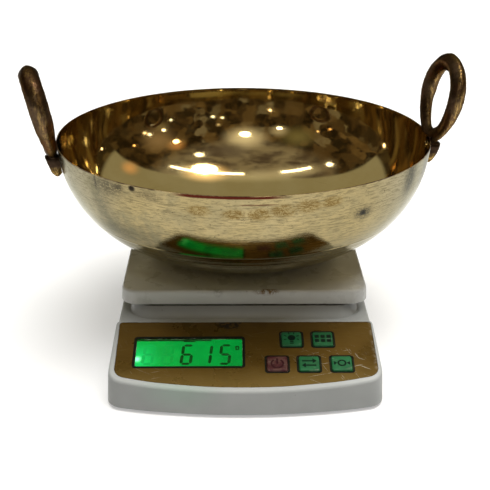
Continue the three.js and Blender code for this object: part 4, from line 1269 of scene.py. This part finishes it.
def dress_inner_parts():
    """Materials for the CAD nodes that stay."""
    looks = {
        base_plastic(): ["base_shell", "battery_door"],
        plain_metal("cast_aluminium", (0.62, 0.63, 0.64), 0.4): ["platform_bracket", "load_cell"],
        plain_metal("zinc_steel", (0.5, 0.5, 0.51), 0.34, 0.5): [
            *(f"{kind}_screw_{i}" for kind in ("bracket", "cell") for i in (1, 2)),
            *(f"housing_screw_{i}" for i in (1, 2, 3, 4)),
            *(f"battery_{kind}_{i}" for kind in ("spring", "contact") for i in (1, 2)),
        ],
        plain_solid("potting", (0.55, 0.55, 0.5), 0.35, 3.0, 0.1): ["gauge_potting"],
        plain_solid("light_guide", (0.6, 0.66, 0.6), 0.3, 4.0): ["display_backlight"],
        circuit_board(): ["main_board"],
        plain_solid("black_moulding", (0.02, 0.02, 0.021), 0.5): [
            "controller_blob",
            *(f"switch_{key}" for key in KEYS),
        ],
        plain_solid("cell_wrap", (0.30, 0.15, 0.05), 0.3, 8.0, 0.02, (0.02, 0.02, 0.02)): [
            "battery_1",
            "battery_2",
        ],
        plain_solid("wire_sheath", (0.20, 0.015, 0.015), 0.45): ["load_cell_lead", "battery_lead"],
    }
    for material, names in looks.items():
        for name in names:
            obj = nodes[name]
            for slot in obj.material_slots:
                slot.material = material


# ---------------------------------------------------------------- studio

FLOOR = -0.0004
ROOM_RADIUS = 1.5
# Ceiling strips along X: name, and both ends as shares of the room's radius
STRIPS = (("strip_right", 0.0, 0.62), ("strip_left", -0.55, -0.27))
STRIP_BACK, STRIP_DEPTH, STRIP_GLOW = 0.06, 0.05, 9
WARM, COOL = (1.0, 0.80, 0.52), (1.0, 0.97, 0.88)
AMBER = (1.0, 0.55, 0.22)
# Lamps of the room: azimuth from +Y towards +X and elevation in degrees, size in metres, brightness, colour
ROOM_LAMPS = (
    (118, 27, 0.055, 14, COOL),
    (106, 27, 0.045, 12, COOL),
    (103, 24, 0.045, 9, WARM),
    (121, 42, 0.11, 13, WARM),
    (125, 63, 0.10, 12, COOL),
    (90, 74, 0.28, 14, COOL),
    (88, 29, 0.04, 7, AMBER),
    (-151, 35, 0.085, 14, COOL),
    (-178, 46, 0.16, 13, COOL),
    (112, 19, 0.035, 10, COOL),
    (127, 19, 0.035, 10, COOL),
    (-160, 15, 0.05, 8, WARM),
    (-64, 12, 0.06, 8, WARM),
    (-81, 51, 0.08, 12, COOL),
    (158, 23, 0.04, 10, COOL),
    (165, 25, 0.04, 10, COOL),
    (161, 33, 0.03, 6, WARM),
    (35, 17, 0.05, 9, WARM),
    (-30, 15, 0.05, 7, COOL),
    (62, 14, 0.04, 7, WARM),
    (-120, 30, 0.04, 4, AMBER),
    (-112, 24, 0.04, 4, AMBER),
)
# Soft glow on the walls round some of them: azimuth, elevation, radius, brightness, colour
ROOM_GLOWS = (
    (121, 42, 0.15, 0.7, (1.0, 0.5, 0.2)),
    (112, 32, 0.30, 0.30, (1.0, 0.72, 0.45)),
    (90, 74, 0.23, 2.0, (1.0, 0.74, 0.45)),
    (-178, 46, 0.30, 0.9, (1.0, 0.92, 0.75)),
    (-151, 35, 0.16, 0.5, (1.0, 0.9, 0.7)),
    (-135, 38, 0.28, 0.22, (0.85, 0.75, 0.35)),
    (69, 36, 0.14, 0.8, (1.0, 0.6, 0.3)),
    (165, 62, 0.24, 0.16, (0.9, 0.75, 0.62)),
    (120, 20, 0.12, 0.22, (1.0, 0.8, 0.45)),
)


def direction(azimuth, elevation):
    a, e = radians(azimuth), radians(elevation)
    return Vector((math.sin(a) * math.cos(e), math.cos(a) * math.cos(e), math.sin(e)))


def build_stage():
    """A wide pale floor."""
    half = 20.0
    mesh = bpy.data.meshes.new("studio_floor")
    corners = [(-half, -half, FLOOR), (half, -half, FLOOR), (half, half, FLOOR), (-half, half, FLOOR)]
    mesh.from_pydata(corners, [], [(0, 1, 2, 3)])
    floor = bpy.data.objects.new("studio_floor", mesh)
    scene.collection.objects.link(floor)
    s = Shader("studio_paper", Roughness=0.9, Specular_IOR_Level=0.1, Emission_Color=(1, 1, 1, 1))
    bounced = s.node("ShaderNodeLightPath").outputs["Is Diffuse Ray"]
    paper = s.mix(s.noise(s.here, 0.4, 2), (0.63, 0.635, 0.64), (0.66, 0.665, 0.67))
    s.set(Base_Color=s.mix(bounced, paper, (0.33, 0.34, 0.35)))
    s.set(Emission_Strength=s.span(bounced, 0, 1, 0.40, 0.05))
    mesh.materials.append(s.material)


def softbox(name, location, target, width, height, power, colour=(1, 1, 1), shape="RECTANGLE"):
    light = bpy.data.lights.new(name, "AREA")
    light.shape, light.size, light.size_y = shape, width, height
    light.energy, light.color = power, colour
    lamp = bpy.data.objects.new(name, light)
    lamp.location = location
    aim = Vector(target) - Vector(location)
    lamp.rotation_euler = aim.to_track_quat("-Z", "Y").to_euler()
    lamp.visible_camera = False
    scene.collection.objects.link(lamp)
    return lamp


def build_world():
    """A room for polished metal to show: pale behind the object, dark and cluttered in front of it."""
    world = bpy.data.worlds.new("studio_room")
    scene.world = world
    world.use_nodes = True
    room = Shader.__new__(Shader)
    room.tree = world.node_tree
    way = room.node("ShaderNodeTexCoord").outputs["Generated"]
    side, back, up = room.parts(way)
    boxes = room.node("ShaderNodeTexVoronoi", distance="CHEBYCHEV", feature="SMOOTH_F1")
    room.feed(boxes.inputs["Smoothness"], 0.2)
    wander = room.joined(*[room.noise(way, size, 3) for size in (0.11, 0.13, 0.15)])
    bent = room.vector("ADD", way, room.stretched(wander, 0.09, 0.09, 0.09))
    room.feed(boxes.inputs["Vector"], room.stretched(bent, 1, 0.35, 0.6))
    room.feed(boxes.inputs["Scale"], 10)
    shade, tint, _ = room.parts(boxes.outputs["Color"])
    dark = room.mix(room.span(shade, 0.35, 1), (0.018, 0.012, 0.005), (0.15, 0.10, 0.045))
    dark = room.mix(room.span(tint, 0.72, 0.98), dark, (0.19, 0.16, 0.105))
    things = room.span(room.noise(room.stretched(way, 1, 1, 0.5), 0.10, 4, 0.7, 0.6), 0.42, 0.66)
    dark = room.mix(room.times(things, 0.75), dark, (0.09, 0.055, 0.022))
    ceiling = room.span(room.noise(way, 0.22, 3, 0.6, 0.5), 0.38, 0.62)
    overhead = room.mix(ceiling, (0.085, 0.065, 0.05), (0.27, 0.235, 0.175))
    dark = room.mix(room.span(up, 0.70, 0.86), dark, overhead)
    pale = room.mix(room.noise(way, 0.8, 2), (0.33, 0.31, 0.22), (0.27, 0.255, 0.18))
    low = room.mix(room.span(tint, 0.2, 0.9), (0.035, 0.024, 0.010), (0.14, 0.10, 0.045))
    pale = room.mix(room.span(up, 0.37, 0.31), pale, low)
    pale = room.mix(room.span(up, 0.12, 0.02), pale, (0.62, 0.64, 0.66))
    sides = room.math("SUBTRACT", room.times(side, 0.065), room.times(room.math("ABSOLUTE", side, 0), 0.325))
    colour = room.mix(room.span(room.math("ADD", back, sides), -0.01, 0.03), dark, pale)
    tubes = room.times(room.span(room.math("ABSOLUTE", room.math("SUBTRACT", back, 0.04), 0), 0.16, 0.0), 0.5)
    colour = room.mix(room.times(tubes, room.span(up, 0.80, 0.93)), colour, (0.75, 0.72, 0.60))
    for azimuth, elevation, radius, glow, tone in ROOM_GLOWS:
        bright = tuple(c * glow for c in tone)
        colour = room.mix(room.near(way, direction(azimuth, elevation), radius, 1), colour, bright)
    seen = room.node("ShaderNodeLightPath").outputs["Is Camera Ray"]
    background = room.tree.nodes["Background"]
    room.feed(background.inputs["Color"], room.mix(seen, colour, (1, 1, 1)))


def build_lights():
    """A wide soft light from above, and the room's strips and lamps, which polished metal shows."""
    sky = bpy.data.lights.new("soft_ceiling", "SUN")
    sky.energy, sky.angle, sky.color = 3.35, radians(48), (1.0, 0.995, 0.985)
    lamp = bpy.data.objects.new("soft_ceiling", sky)
    lamp.rotation_euler = (Vector((-0.14, 0.05, -1))).to_track_quat("-Z", "Y").to_euler()
    lamp.visible_glossy = False
    scene.collection.objects.link(lamp)
    bowl_middle = place(0, 0, BOWL_BOTTOM + 20)
    for name, start, end in STRIPS:
        middle, width = (start + end) / 2 * ROOM_RADIUS, (end - start) * ROOM_RADIUS
        spot = bowl_middle + Vector((middle, STRIP_BACK * ROOM_RADIUS, ROOM_RADIUS))
        power = STRIP_GLOW * math.pi * width * STRIP_DEPTH
        strip = softbox(name, spot, bowl_middle, width, STRIP_DEPTH, power, (1, 0.99, 0.94))
        strip.rotation_euler = (0, 0, 0)
    for i, (azimuth, elevation, size, glow, colour) in enumerate(ROOM_LAMPS):
        spot = bowl_middle + direction(azimuth, elevation) * ROOM_RADIUS
        power = glow * math.pi * math.pi / 4 * size * size
        softbox(f"room_lamp_{i}", spot, bowl_middle, size, size, power, colour, "DISK")


def build_camera():
    camera = bpy.data.cameras.new("camera")
    camera.lens, camera.sensor_width = 74.83, 36
    obj = bpy.data.objects.new("camera", camera)
    obj.location = (-0.00844, -0.65755, 0.3325)
    pitch, yaw, roll = 0.398, 0.015, 0.004
    forward = Vector((math.sin(yaw) * math.cos(pitch), math.cos(yaw) * math.cos(pitch), -math.sin(pitch)))
    level = forward.to_track_quat("-Z", "Y").to_matrix()
    obj.rotation_euler = (level @ Matrix.Rotation(roll, 3, "Z")).to_euler()
    scene.collection.objects.link(obj)
    scene.camera = obj


add_housing()
add_panel()
add_bowl()
dress_inner_parts()
build_stage()
build_world()
build_lights()
build_camera()
scene.view_settings.view_transform = "Standard"
